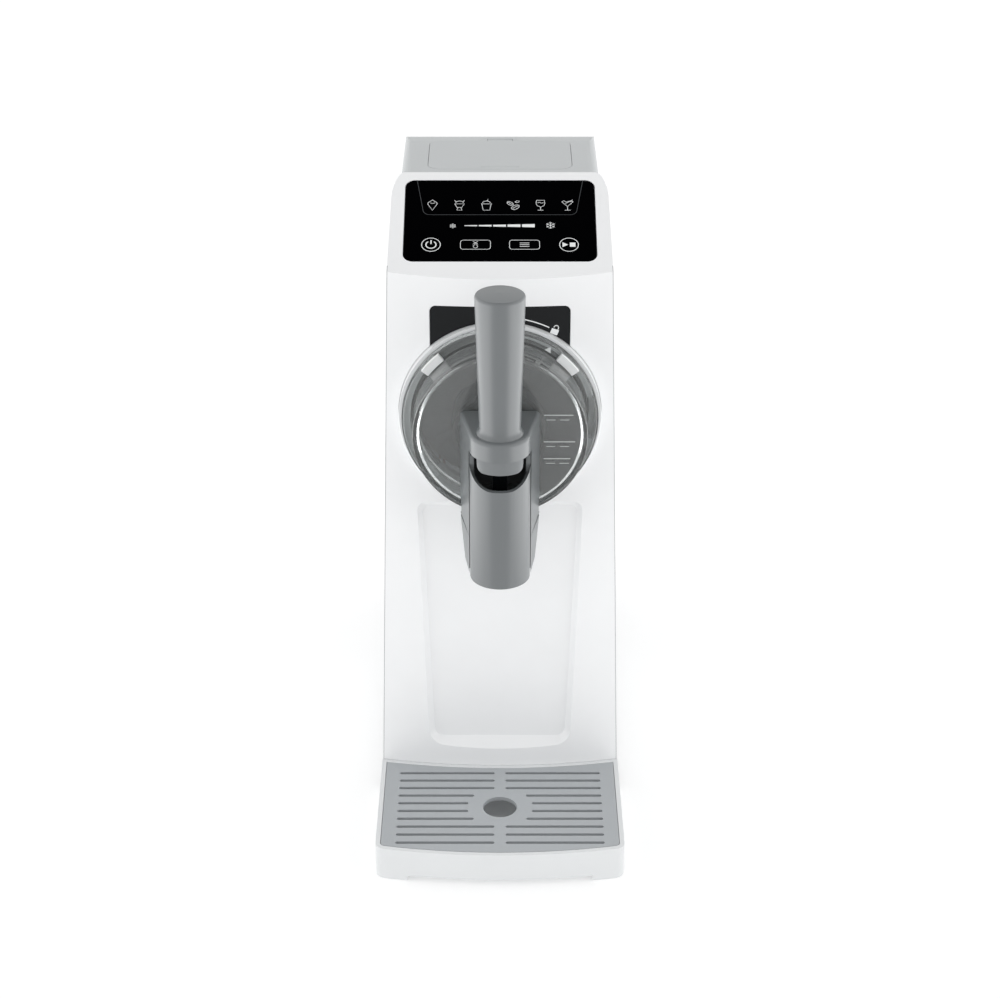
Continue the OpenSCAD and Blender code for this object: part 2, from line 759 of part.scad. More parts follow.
module gearbox_plate() color("silver") difference() {
    union() {
        from_front(plate_y, plate_y + 2) case_outline(0);
        axis_bar(11, plate_y + 1, gear_y0 - 0.4);
        for (p = case_posts) y_bar(5, bulkhead_back, plate_y + 2, x = p[0], z = p[1]);
    }
    axis_bar(shaft_r + 0.05, plate_y - 1, gear_y0 + 1);
}

module gearbox_cover() color("dimgray") difference() {
    union() {
        from_front(plate_y + 2, cover_back) case_outline(0);
        for (p = case_posts) y_bar(5, plate_y + 2, plate_y + 9, x = p[0], z = p[1]);
    }
    from_front(plate_y - 1, cover_back - 2) case_outline(-2);
    axis_bar(shaft_r + 0.05, gear_y0, cover_back + 1);
    y_bar(3.05, gear_y0, cover_back + 1, z = pinion_z);
}

motor_r = 26;

module drive_motor() color("gray") translate([0, cover_back, pinion_z]) rotate([-90, 0, 0]) difference() {
    union() {
        cylinder(r = motor_r, h = 52);
        cylinder(r = motor_r - 3, h = 56);
        translate([0, 0, 52]) cylinder(r = 9, h = 8);
    }
    translate([0, 0, -1]) cylinder(r = 9, h = 9);
}

module drive_shaft() color("silver") difference() {
    axis_bar(shaft_r, hub_front + 3.2, cover_back + 3);
    for (s = [-1, 1]) box(s > 0 ? shaft_r - 0.9 : -shaft_r - 1, s > 0 ? shaft_r + 1 : 0.9 - shaft_r,
        hub_front, hub_front + 16, axis_z - 8, axis_z + 8);
}

board_z = bulkhead_high - 4;

module power_board() color("darkgreen") union() {
    box(-52, 52, bulkhead_back, bulkhead_back + 64, board_z, board_z + 1.6);
    box(-48, -16, bulkhead_back + 10, bulkhead_back + 38, board_z + 1, board_z + 23);
    box(20, 46, bulkhead_back + 8, bulkhead_back + 12, board_z + 1, board_z + 26);
    for (i = [0:2]) z_bar(6, board_z + 1, board_z + 22, x = 6 + i * 15, y = bulkhead_back + 28);
    for (i = [0:3]) box(-8 + i * 12, i * 12, bulkhead_back + 46, bulkhead_back + 58, board_z + 1, board_z + 11);
    for (x = [-50, 46]) box(x, x + 4, bulkhead_back, bulkhead_back + 30, board_z - 8, board_z + 1);
}

bend_r = 9;
pipe_sides = 10;

// A path through points, with each corner softened over the length bend_r
function bent(p) = concat([p[0]],
    [for (i = [1:1:len(p) - 2]) let (a = p[i - 1] - p[i], b = p[i + 1] - p[i],
        u = p[i] + unit(a) * min(bend_r, norm(a) / 2.2), v = p[i] + unit(b) * min(bend_r, norm(b) / 2.2))
        for (t = [0:0.25:1]) (1 - t) * (1 - t) * u + 2 * t * (1 - t) * p[i] + t * t * v],
    [p[len(p) - 1]]);

function path_way(p, i) = unit(p[min(i + 1, len(p) - 1)] - p[max(i - 1, 0)]);
function square_to(n, t) = unit(n - (n * t) * t);

// Rings of points round a path, each turned as little as it can be from the one before
function pipe_rings(p, r) = [for (i = 0, n = square_to([0.31, 0.53, 0.79], path_way(p, 0)); i < len(p);
    i = i + 1, n = square_to(n, path_way(p, min(i, len(p) - 1))))
    for (k = [0:pipe_sides - 1]) let (a = 360 * k / pipe_sides)
        p[i] + r * (cos(a) * n + sin(a) * cross(path_way(p, i), n))];

// A pipe bent along points
module pipe(points, r) {
    p = bent(points);
    n = pipe_sides;
    end = (len(p) - 1) * n;
    polyhedron(pipe_rings(p, r), concat([[for (k = [0:n - 1]) k], [for (k = [n - 1:-1:0]) end + k]],
        [for (i = [0:len(p) - 2], k = [0:n - 1], half = [0, 1]) let (a = i * n + k, b = i * n + (k + 1) % n)
            half == 0 ? [a, a + n, b] : [b, a + n, b + n]]), convexity = 6);
}

stub_r = compressor_r + 8;
stub_z = compressor_z + 62;
function stub(a, d = 0) = [(stub_r + d) * cos(a), compressor_y + (stub_r + d) * sin(a), stub_z];
hot_x = -condenser_w / 2 - 8;
cold_x = -hot_x;
tube_y = condenser_y + 9;
drier_y = condenser_y - 36;
drier_low = condenser_low + tube_low + 7;
drier_l = 80;
drier_r = 8;
bend_y = bulkhead_back + gear_stand / 2;
side_x = case_r + 8;

module refrigerant_lines() color("peru") union() {
    pipe([stub(150), stub(150, 8), [hot_x, compressor_y + compressor_r, stub_z], [hot_x, tube_y, stub_z],
        [hot_x, tube_y, condenser_low + tube_high], [-condenser_w / 2 - 3, tube_y, condenser_low + tube_high]], line_r);
    pipe([[line_x, bulkhead_y - 1, suction_z], [line_x, bend_y, suction_z], [-side_x, bend_y, suction_z],
        [-side_x, bend_y, pinion_z - 73.5], [hot_x, compressor_y + 68, stub_z + 66], stub(205, 9) + [0, 0, 66],
        stub(205, 9), stub(205)], line_r);
    pipe([[condenser_w / 2 + 3, tube_y, condenser_low + tube_low], [cold_x, tube_y, condenser_low + tube_low],
        [cold_x, drier_y, condenser_low + tube_low], [cold_x, drier_y, drier_low]], line_r);
    pipe([[cold_x, drier_y, drier_low + drier_l], [cold_x, drier_y, pinion_z - 83.5], [side_x, bend_y, pinion_z - 48.5],
        [side_x, bend_y, liquid_z], [line_x, bend_y, liquid_z], [line_x, bulkhead_y - 1, liquid_z]], line_r);
}

module filter_drier() color("peru") union() {
    z_bar(drier_r, drier_low + 14, drier_low + drier_l - 14, x = cold_x, y = drier_y);
    z_bar(line_r, drier_low, drier_low + drier_l, x = cold_x, y = drier_y);
}

// ---------- vessel and tap ----------

bore_r = piston_r + 0.3;
port_r = 6;
port_z = axis_z - vessel_r + vessel_wall + port_r + 2.6;
fill_slot_x = chute_w / 2 - 4;
seal_w = 2.4;
seal_t = 1.4;

module clear_vessel() color("lightblue") difference() {
    union() {
        axis_turned() polygon([[0, face_y], [vessel_r - 2.7, face_y], [vessel_r - 2.5, rim_y],
            [vessel_r - 0.5, rim_y], [vessel_r, rim_y + 0.6], [vessel_r, collar_y - 2],
            [collar_r - 4, collar_y - 2], [collar_r - 3, collar_y - 1], [collar_r - 3, collar_y + 5],
            [vessel_r, collar_y + 5], [vessel_r, vessel_back - 4], [vessel_r - vessel_wall, vessel_back - 4],
            [vessel_r - vessel_wall, face_y + 5], [vessel_r - vessel_wall - 2, face_y + 3], [0, face_y + 3]]);
        for (a = [0:120:240]) translate([0, 0, axis_z]) rotate([0, -a, 0]) difference() {
            lug_sector(lug_r, lug_y, lug_y + lug_t, lug_arc);
            lug_sector(vessel_r - 0.5, lug_y - 1, lug_y + lug_t + 1, 60);
        }
    }
    box(-fill_slot_x, fill_slot_x, chute_y + 5, chute_y + chute_l - 5, axis_z + 20, axis_z + vessel_r + 1);
    y_bar(port_r, face_y - 1, face_y + 4, z = port_z);
}

module vessel_gasket() color("gainsboro") axis_turned() polygon([
    [vessel_r - vessel_wall, vessel_back - 4], [vessel_r, vessel_back - 4], [vessel_r + 1.6, vessel_back],
    [vessel_r - 1, vessel_back - 0.8], [vessel_r - vessel_wall - 1.2, vessel_back]]);

function tangent_arc(corner, centre, r) =
    let (v = corner - centre, a = atan2(v[1], v[0]) - acos(r / norm(v)), n = 20)
    [for (k = [0:n]) centre + r * [cos(-180 - a + (180 + 2 * a) * k / n), sin(-180 - a + (180 + 2 * a) * k / n)]];

// The tap's plan: a straight back edge at y and tangents to a round front, all inset by g
function tap_plan(w, y, g = 0) = concat([[w / 2 - g, y]], [[g - w / 2, y]],
    tangent_arc([w / 2 - g, y], [0, spout_y], spout_r - g));

spout_step = axis_z - vessel_r + 0.5;
cavity_low = port_z + port_r + 7;
window_low = spout_top - 28;
spout_low_w = 40;

module spout_body() color("darkgray") difference() {
    union() {
        translate([0, 0, spout_step]) linear_extrude(spout_top - spout_step)
            polygon(tap_plan(spout_w, face_y));
        hull() {
            translate([0, 0, spout_step]) linear_extrude(eps) polygon(tap_plan(spout_w, rim_y - fit_gap));
            translate([0, 0, spout_z]) linear_extrude(eps) polygon(tap_plan(spout_low_w, rim_y - 8));
        }
    }
    difference() {
        axis_bar(vessel_r + 4, rim_y - fit_gap, face_y + 1);
        axis_bar(vessel_r - 3, rim_y - 1, face_y + 2);
    }
    z_bar(bore_r, spout_z - 1, spout_top, y = spout_y);
    translate([0, 0, cavity_low]) linear_extrude(far) polygon(tap_plan(spout_w, face_y - 3.2, 3.2));
    y_bar(port_r, spout_y, face_y + 1, z = port_z);
    y_bar(port_r + seal_w + 0.05, face_y - seal_t - 0.05, face_y + 1, z = port_z);
    across(far) polygon([[spout_y - spout_r - 1, window_low - 1.4], [spout_y, spout_top + 0.6],
        [spout_y - spout_r - 1, spout_top + 20]]);
    x_bar(pivot_r + 0.03, -far / 2, far / 2, spout_y, pivot_z);
    x_bar(pivot_r + 1.6, spout_r - 1.4, far / 2, spout_y, pivot_z);
    x_bar(pivot_r + 1.6, -far / 2, 1.4 - spout_r, spout_y, pivot_z);
}

pivot_r = 2.5;

module pivot_pin() color("silver")
    x_bar(pivot_r, 1.6 - spout_r, spout_r - 1.6, spout_y, pivot_z);

module port_seal() color("gainsboro") difference() {
    y_bar(port_r + seal_w, face_y - seal_t, face_y, z = port_z);
    y_bar(port_r, face_y - 2, face_y + 2, z = port_z);
}

module release_tab() color("whitesmoke") for (a = [-42, 42]) translate([0, 0, axis_z]) rotate([0, a, 0])
    difference() {
        lug_sector(collar_r - 3.6, collar_y - 5, collar_y - 2, 15);
        lug_sector(vessel_r + 0.6, collar_y - 6, collar_y, 20);
    }

// ---------- lever and valve ----------

crank_l = 16;
arm_in = 5.8;
arm_out = 10;
lift_r = 2;
hub_r = 15;
screw_r = 2;
stem_half = 4.5;
piston_low = port_z - port_r - 3;
piston_h = 20;
ring_wire = 1.25;
ring_places = [3.6, 15.4];

module tap_lever() color("silver") difference() {
    union() {
        translate([0, 0, spout_top + fit_gap]) linear_extrude(cap_z - spout_top - fit_gap)
            polygon(tap_plan(spout_w - 1, face_y - 0.8, 0.3));
        z_bar(hub_r, pivot_z - 11, cap_z - 1, y = spout_y);
        for (s = [-1, 1]) translate([s * (arm_in + arm_out) / 2, spout_y, pivot_z]) union() {
            translate([(arm_in - arm_out) / 2, 0, -5]) cube([arm_out - arm_in, crank_l, cap_z - pivot_z + 4]);
            x_bar(5, (arm_in - arm_out) / 2, (arm_out - arm_in) / 2, crank_l, 0);
        }
    }
    box(-arm_in + 0.3, arm_in - 0.3, spout_y - 7, spout_y + crank_l + 8, 0, spout_top + fit_gap);
    x_bar(pivot_r + 0.05, -far / 2, far / 2, spout_y, pivot_z);
    for (s = [-1, 1]) x_bar(4.7, s > 0 ? 9 : -far / 2, s > 0 ? far / 2 : -9, spout_y, pivot_z);
    x_bar(lift_r + 0.02, -far / 2, far / 2, spout_y + crank_l, pivot_z);
    z_bar(screw_r + 0.02, spout_top - 1, cap_z + 1, y = spout_y);
}

module return_spring() color("silver") for (s = [-1, 1])
    translate([s > 0 ? 9.2 : -14.2, spout_y, pivot_z]) rotate([0, 90, 0]) rotate_extrude() difference() {
        translate([3.1, 0]) square([1.1, 5]);
        for (k = [0:4]) translate([4.5, k * 1.25]) circle(r = 0.5, $fn = 16);
    }

module lift_pin() color("silver") x_bar(lift_r, -arm_out, arm_out, spout_y + crank_l, pivot_z);

module handle_screw() color("gray") union() {
    z_bar(3.4, spout_top + fit_gap - 2.2, spout_top + fit_gap, y = spout_y);
    z_bar(screw_r, spout_top + fit_gap - 1, cap_z + 22, y = spout_y);
}

module tap_handle() color("darkgray") difference() {
    translate([0, spout_y, cap_z]) rotate_extrude() polygon(concat(
        [[0, 0], [handle_foot_r + 1.8, 0], [handle_foot_r + 1.2, 1], [handle_foot_r + 0.4, 2],
            [handle_foot_r, 3.6]],
        [for (p = arc(1, 0, 60, 6)) [handle_top_r - 2.4 + 2.4 * p[0], handle_l - 4.4 + 2.4 * p[1]]],
        [[handle_top_r * 0.6, handle_l - 0.8], [handle_top_r * 0.3, handle_l - 0.2], [0, handle_l]]));
    z_bar(screw_r + 0.02, cap_z - 1, cap_z + 22, y = spout_y);
}

module valve_piston() color("ivory") translate([0, spout_y, 0]) difference() {
    union() {
        z_bar(piston_r, piston_low, piston_low + piston_h);
        box(-stem_half, stem_half, pivot_r + 0.8, 11.6, piston_low + piston_h - 1, pivot_z - 4);
        box(-stem_half, stem_half, crank_l - 8.8, crank_l + 5, pivot_z - 5.5, pivot_z + 5.5);
    }
    for (z = ring_places) translate([0, 0, piston_low + z]) difference() {
        cylinder(r = piston_r + 1, h = 2.7, center = true);
        cylinder(r = piston_r - 2.3, h = 3, center = true);
    }
    box(-stem_half - 1, stem_half + 1, crank_l - 6.2, crank_l + 2.5, pivot_z - 2.6, pivot_z + 2.6);
    z_bar(piston_r - 3, piston_low - 1, piston_low + 8);
}

module piston_rings() color("dimgray") for (z = ring_places) translate([0, spout_y, piston_low + z])
    rotate_extrude() translate([bore_r - ring_wire - 0.05, 0]) circle(r = ring_wire, $fn = 24);

// ---------- auger ----------

hub_front = face_y + 4;
blade_in = drum_r + 1.6;
blade_out = vessel_r - vessel_wall - 1;
blade_back = vessel_back - 9;
blade_l = blade_back - hub_front;
blade_sector = 360 * auger_t / auger_pitch;

module auger_blade() color("ivory") translate([0, blade_back, axis_z]) rotate([90, 0, 0])
    linear_extrude(blade_l, twist = 360 * blade_l / auger_pitch, slices = ceil(36 * blade_l / auger_pitch), $fn = 8)
        polygon(concat(arc(blade_in, 0, blade_sector, 4), arc(blade_out, blade_sector, 0, 5)));

module auger_hub() color("ivory") difference() {
    union() {
        difference() {
            axis_bar(blade_in - fit_gap, hub_front, drum_front - 2.5);
            axis_bar(blade_in - 3.4, hub_front - 1, drum_front);
        }
        axis_bar(shaft_r + 5, hub_front, drum_front - 1);
        for (a = [30:120:270]) translate([0, 0, axis_z]) rotate([0, a, 0])
            box(shaft_r + 3, blade_in - 1.5, hub_front + 2, drum_front - 5, -2.5, 2.5);
    }
    difference() {
        axis_bar(shaft_r + 0.05, hub_front + 3, drum_front);
        for (s = [-1, 1]) box(s > 0 ? shaft_r - 0.85 : -shaft_r - 1, s > 0 ? shaft_r + 1 : 0.85 - shaft_r,
            hub_front, hub_front + 15.8, axis_z - 8, axis_z + 8);
    }
}

// ---------- drip tray ----------

tray_front = -overall_depth / 2;
tray_rim = 3.6;
tray_ledge = 6.4;
foot_lift = 4;
foot_span = 63;
slot_mid = (front_y + tray_front) / 2 + 2.6;
slot_half = half_base - 13.5;
slot_rib = 3.75;
hole_r = 11.8;
hole_margin = 22.6;

function front_sag(x) = front_radius - sqrt(pow(front_radius, 2) - pow(x, 2));
function tray_outline() = concat([[-half_base, 0]],
    [for (k = [-6:6]) let (x = half_base * k / 6) [x, tray_front + front_sag(x)]], [[half_base, 0]]);

module tray_form(g, z0, z1) {
    n = len(tray_outline());
    p = inset_poly(tray_outline(), [for (i = [0:n - 1]) i == n - 1 ? 0 : g]);
    difference() {
        translate([0, 0, z0]) linear_extrude(z1 - z0)
            polygon(round_poly(p, [for (i = [0:n - 1]) i == 1 || i == n - 2 ? 7 - g : 0]));
        front_bow(fit_gap + g);
    }
}

module drip_tray() color("whitesmoke") difference() {
    union() {
        tray_form(0, 0, tray_h);
        for (x = [-45, 45]) box(x - 8, x + 8, front_y, base_front + 10, 6, skirt_z - 0.4);
    }
    tray_form(tray_rim - fit_gap, tray_h - grille_t - 0.2, tray_h + 1);
    tray_form(tray_ledge, foot_lift + tray_wall, tray_h + 1);
    box(-foot_span, foot_span, -far / 2, 0, -1, foot_lift);
}

// A slot with round ends from x0 to x1
module slot(x0, x1, w) {
    translate([x0 + w / 2, -w / 2]) square([x1 - x0 - w, w]);
    for (x = [x0 + w / 2, x1 - w / 2]) translate([x, 0]) circle(r = w / 2);
}

module drip_grille() color("silver") difference() {
    tray_form(tray_rim, tray_h - grille_t, tray_h);
    translate([0, 0, tray_h - grille_t - 1]) linear_extrude(grille_t + 2)
        for (i = [0:slot_rows - 1]) let (dy = (i - (slot_rows - 1) / 2) * slot_pitch,
            x0 = abs(dy) < hole_margin ? max(slot_rib, sqrt(pow(hole_margin, 2) - dy * dy)) : slot_rib)
            for (s = [0, 1]) mirror([s, 0]) translate([0, slot_mid + dy]) slot(x0, slot_half, slot_w);
    z_bar(hole_r, 0, tray_h + 1, y = slot_mid);
}

base_pan();
front_panel();
left_side_panel();
right_side_panel();
top_cover();
rear_cover();
control_glass();
display_board();
lock_plate();
vessel_collar();
vessel_bulkhead();
cold_drum();
fill_chute();
hatch_pin();
compressor();
compressor_mounts();
condenser();
fan_shroud();
fan_motor();
gearbox_plate();
gearbox_cover();
drive_motor();
power_board();
refrigerant_lines();
filter_drier();
rubber_feet();
cord_bushing();
cover_screws();
clear_vessel();
vessel_gasket();
spout_body();
port_seal();
pivot_pin();
return_spring();
release_tab();
tap_handle();
tap_lever();
handle_screw();
valve_piston();
piston_rings();
lift_pin();
auger_blade();
auger_hub();
drive_shaft();
drive_gear();
motor_pinion();
fan_blades();
drip_tray();
drip_grille();
fill_hatch();
hatch_gasket();
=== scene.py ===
# Countertop frozen dessert machine: finishes, softened mouldings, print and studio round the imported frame
import json
import math
import bpy
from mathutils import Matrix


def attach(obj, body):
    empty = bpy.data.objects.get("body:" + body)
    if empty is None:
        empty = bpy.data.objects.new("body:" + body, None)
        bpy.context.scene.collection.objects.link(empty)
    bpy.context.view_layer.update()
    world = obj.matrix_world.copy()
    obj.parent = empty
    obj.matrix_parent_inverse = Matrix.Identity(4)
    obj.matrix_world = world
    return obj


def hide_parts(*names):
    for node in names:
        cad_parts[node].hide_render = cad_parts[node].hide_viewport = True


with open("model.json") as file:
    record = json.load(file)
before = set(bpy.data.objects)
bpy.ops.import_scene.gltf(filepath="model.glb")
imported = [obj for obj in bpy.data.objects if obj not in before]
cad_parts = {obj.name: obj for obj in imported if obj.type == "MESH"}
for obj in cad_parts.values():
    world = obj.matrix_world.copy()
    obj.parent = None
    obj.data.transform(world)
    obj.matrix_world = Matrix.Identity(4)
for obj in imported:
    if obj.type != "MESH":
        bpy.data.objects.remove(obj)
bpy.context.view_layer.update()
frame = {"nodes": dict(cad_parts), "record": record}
mm = 0.001
print("frame loaded:", len(frame["nodes"]), "nodes")

# the workbench: how near two points are before they are one, how thick printed ink is, both in mm,
# and the angles in degrees that count as an edge, as flat and as smooth
bench = {"ringGap": 0.002, "lineGap": 0.02, "patchGap": 0.01, "cutGap": 0.02, "solidGap": 0.01, "dot": 1.0,
         "inkThick": 0.05, "inkPress": 0.12, "edge": 28, "flat": 0.6, "smooth": 32, "ringSmooth": 30}


def deselectAll():
    if bpy.context.object and bpy.context.object.mode != "OBJECT":
        bpy.ops.object.mode_set(mode="OBJECT")
    bpy.ops.object.select_all(action="DESELECT")


def pick(piece):
    deselectAll()
    piece.select_set(True)
    bpy.context.view_layer.objects.active = piece


def settle(piece):
    # leaves the object at the origin with its place in the mesh
    pick(piece)
    bpy.ops.object.transform_apply(location=True, rotation=True, scale=True)


def soften(piece, width, segments, smooth, even):
    # rounds every sharp edge, as a mould's radius does
    pick(piece)
    bevel = piece.modifiers.new("mouldRadius", "BEVEL")
    bevel.width = width * mm
    bevel.segments = segments
    bevel.limit_method = "ANGLE"
    bevel.angle_limit = math.radians(bench["edge"])
    bevel.use_clamp_overlap = True
    bevel.harden_normals = False
    bpy.ops.object.modifier_apply(modifier=bevel.name)
    bpy.ops.object.shade_smooth_by_angle(angle=math.radians(smooth or bench["smooth"]))
    if not even:
        return
    evened = piece.modifiers.new("evenShade", "WEIGHTED_NORMAL")
    evened.keep_sharp = True
    bpy.ops.object.modifier_apply(modifier=evened.name)


def rollEdges(piece, wanted, radius, segments):
    # rolls only the sharp edges whose two ends, in mm, wanted() accepts
    pick(piece)
    bpy.ops.object.mode_set(mode="EDIT")
    bpy.ops.mesh.select_mode(type="EDGE")
    bpy.ops.mesh.select_all(action="DESELECT")
    bpy.ops.mesh.edges_select_sharp(sharpness=math.radians(bench["edge"]))
    bpy.ops.object.mode_set(mode="OBJECT")
    mesh = piece.data
    mesh.polygons.foreach_set("select", [False] * len(mesh.polygons))
    for edge in mesh.edges:
        if edge.select:
            a, b = (mesh.vertices[v].co / mm for v in edge.vertices)
            edge.select = wanted(a, b)
    kept = {v for edge in mesh.edges if edge.select for v in edge.vertices}
    for vertex in mesh.vertices:
        vertex.select = vertex.index in kept
    bpy.ops.object.mode_set(mode="EDIT")
    bpy.ops.mesh.bevel(offset=radius * mm, segments=segments, clamp_overlap=False, affect="EDGES")
    bpy.ops.mesh.select_mode(type="VERT")
    bpy.ops.object.mode_set(mode="OBJECT")


def pickVertices(piece, wanted):
    # opens the piece for editing with only the vertices selected whose place, in mm, wanted() accepts
    pick(piece)
    bpy.ops.object.mode_set(mode="EDIT")
    bpy.ops.mesh.select_all(action="DESELECT")
    bpy.ops.object.mode_set(mode="OBJECT")
    for vertex in piece.data.vertices:
        vertex.select = wanted(vertex.co / mm)
    bpy.ops.object.mode_set(mode="EDIT")


def dress(piece, material, body):
    # one material all over, carried by a body
    piece.data.materials.clear()
    piece.data.materials.append(material)
    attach(piece, body)


def bodyOf(node):
    for body, nodes in frame["record"]["behaviour"]["bodies"].items():
        if node in nodes:
            return body


def slotOf(node):
    for entry in frame["record"]["subparts"]:
        if entry["node"] == node:
            return entry["material_slot"]


def moulded(piece, node, width, segments, rolled=None, smooth=None, even=True):
    # rounds the piece's edges, gives it its finish and lets it stand for the solid
    if rolled:
        rollEdges(piece, *rolled)
    soften(piece, width, segments, smooth, even)
    dress(piece, finishOf(node), bodyOf(node))
    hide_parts(node)


def turned(name, profile, steps=96):
    # rings drawn out along Z, profile = [(radius, height), ...] in mm from the start circle
    deselectAll()
    radius, height = profile[0]
    bpy.ops.mesh.primitive_circle_add(vertices=steps, radius=radius * mm, location=(0, 0, height * mm))
    piece = bpy.context.object
    piece.name = name
    settle(piece)
    bpy.ops.object.mode_set(mode="EDIT")
    bpy.ops.mesh.select_all(action="SELECT")
    for radiusNext, heightNext in profile[1:]:
        rise = (0, 0, (heightNext - height) * mm)
        bpy.ops.mesh.extrude_region_move(TRANSFORM_OT_translate={"value": rise})
        grow = radiusNext / radius
        bpy.ops.transform.resize(value=(grow, grow, 1), center_override=(0, 0, heightNext * mm))
        radius, height = radiusNext, heightNext
    bpy.ops.mesh.select_all(action="SELECT")
    bpy.ops.mesh.remove_doubles(threshold=bench["ringGap"] * mm)
    bpy.ops.mesh.normals_make_consistent(inside=False)
    bpy.ops.object.mode_set(mode="OBJECT")
    bpy.ops.object.shade_smooth_by_angle(angle=math.radians(bench["ringSmooth"]))
    return piece


def placed(piece, move=(0, 0, 0), turn=(0, 0, 0)):
    # turned first, then moved, both settled into the mesh
    piece.rotation_euler = [math.radians(a) for a in turn]
    settle(piece)
    piece.location = [v * mm for v in move]
    settle(piece)
    return piece


def arcPoints(x, y, radius, start, end, count, squeeze=1.0):
    # count + 1 points along an arc, from one angle to another in degrees
    angles = [math.radians(start + (end - start) * i / count) for i in range(count + 1)]
    return [(x + radius * math.cos(a), y + squeeze * radius * math.sin(a)) for a in angles]


def drawnPath(points):
    # one vertex drawn along the points in mm, left open for editing
    deselectAll()
    x, y = points[0]
    bpy.ops.mesh.primitive_plane_add(size=bench["dot"] * mm, location=(x * mm, y * mm, 0))
    piece = bpy.context.object
    settle(piece)
    bpy.ops.object.mode_set(mode="EDIT")
    bpy.ops.mesh.select_all(action="SELECT")
    bpy.ops.mesh.merge(type="CENTER")
    for before, after in zip(points, points[1:]):
        step = ((after[0] - before[0]) * mm, (after[1] - before[1]) * mm, 0)
        bpy.ops.mesh.extrude_region_move(TRANSFORM_OT_translate={"value": step})
    return piece


def inkLine(points, width, closed=False):
    # a path made a round line and pressed flat like printed ink
    drawnPath(points)
    if closed:
        bpy.ops.mesh.select_all(action="SELECT")
        bpy.ops.mesh.remove_doubles(threshold=bench["lineGap"] * mm)
    bpy.ops.object.mode_set(mode="OBJECT")
    bpy.ops.object.convert(target="CURVE")
    line = bpy.context.object
    line.data.bevel_depth = width / 2 * mm
    line.data.bevel_resolution = 1
    line.data.use_fill_caps = True
    bpy.ops.object.convert(target="MESH")
    line = bpy.context.object
    line.scale = (1, 1, bench["inkPress"])
    settle(line)
    return line


def inkPatch(points, thickness=bench["inkThick"]):
    # a filled shape: its outline drawn as a loop, filled and given a thickness
    piece = drawnPath(points + points[:1])
    bpy.ops.mesh.select_all(action="SELECT")
    bpy.ops.mesh.remove_doubles(threshold=bench["patchGap"] * mm)
    bpy.ops.mesh.select_all(action="SELECT")
    bpy.ops.mesh.edge_face_add()
    bpy.ops.mesh.extrude_region_move(TRANSFORM_OT_translate={"value": (0, 0, thickness * mm)})
    bpy.ops.mesh.select_all(action="SELECT")
    bpy.ops.mesh.normals_make_consistent(inside=False)
    bpy.ops.object.mode_set(mode="OBJECT")
    return piece


def block(low, high):
    # a box between two corners in mm, for cutting and adding
    deselectAll()
    middle = [(a + b) / 2 * mm for a, b in zip(low, high)]
    bpy.ops.mesh.primitive_cube_add(size=1, location=middle)
    piece = bpy.context.object
    piece.scale = [(b - a) * mm for a, b in zip(low, high)]
    settle(piece)
    return piece


def rod(radius, low, high, along, at, steps=64):
    # a round bar from low to high along X, Y or Z, at the other two coordinates
    deselectAll()
    middle = (low + high) / 2
    spot, turn = {"X": ((middle, *at), (0, 90, 0)), "Y": ((at[0], middle, at[1]), (90, 0, 0)),
                  "Z": ((*at, middle), (0, 0, 0))}[along]
    place, angles = [v * mm for v in spot], [math.radians(a) for a in turn]
    bpy.ops.mesh.primitive_cylinder_add(vertices=steps, radius=radius * mm, depth=(high - low) * mm,
                                        location=place, rotation=angles)
    piece = bpy.context.object
    settle(piece)
    return piece


def slab(points, low, high):
    # an outline in plan, in mm, drawn up from low to high
    return placed(inkPatch(points, high - low), (0, 0, low))


def worked(piece, tool, how):
    # joins a tool to the piece, cuts it away or keeps what they share
    pick(piece)
    step = piece.modifiers.new("work", "BOOLEAN")
    step.operation = how
    step.solver = "EXACT"
    step.object = tool
    bpy.ops.object.modifier_apply(modifier=step.name)
    pick(tool)
    bpy.ops.object.delete()
    return piece


def cleaned(piece):
    # drops the fragments and slivers that cutting leaves along an edge
    pick(piece)
    bpy.ops.object.mode_set(mode="EDIT")
    bpy.ops.mesh.select_all(action="SELECT")
    bpy.ops.mesh.remove_doubles(threshold=bench["cutGap"] * mm)
    bpy.ops.mesh.dissolve_limited(angle_limit=math.radians(bench["flat"]))
    bpy.ops.object.mode_set(mode="OBJECT")
    return piece


def solidCopy(node, name):
    # a merged copy of a CAD solid that can be shaped further
    source = frame["nodes"][node]
    piece = source.copy()
    piece.data = source.data.copy()
    piece.name = name
    bpy.context.collection.objects.link(piece)
    pick(piece)
    bpy.ops.object.mode_set(mode="EDIT")
    bpy.ops.mesh.select_all(action="SELECT")
    bpy.ops.mesh.remove_doubles(threshold=bench["solidGap"] * mm)
    bpy.ops.mesh.dissolve_limited(angle_limit=math.radians(bench["flat"]))
    bpy.ops.object.mode_set(mode="OBJECT")
    return piece


def joined(pieces, name):
    # many pieces made one under one name
    deselectAll()
    for piece in pieces:
        piece.select_set(True)
    bpy.context.view_layer.objects.active = pieces[0]
    bpy.ops.object.join()
    whole = bpy.context.object
    whole.name = name
    return whole


def linear(hexValue):
    # an sRGB hex colour as linear red, green, blue and full opacity
    parts = [int(hexValue[i:i + 2], 16) / 255 for i in (1, 3, 5)]
    return [c / 12.92 if c <= 0.04045 else ((c + 0.055) / 1.055) ** 2.4 for c in parts] + [1]


def addNode(tree, kind, settings=None, inputs=None, links=None):
    # settings are the node's own choices, inputs are socket values, links join sockets to (node, output)
    node = tree.nodes.new(kind)
    for key, value in (settings or {}).items():
        setattr(node, key, value)
    for key, value in (inputs or {}).items():
        node.inputs[key].default_value = value
    for key, (source, output) in (links or {}).items():
        tree.links.new(source.outputs[output], node.inputs[key])
    return node


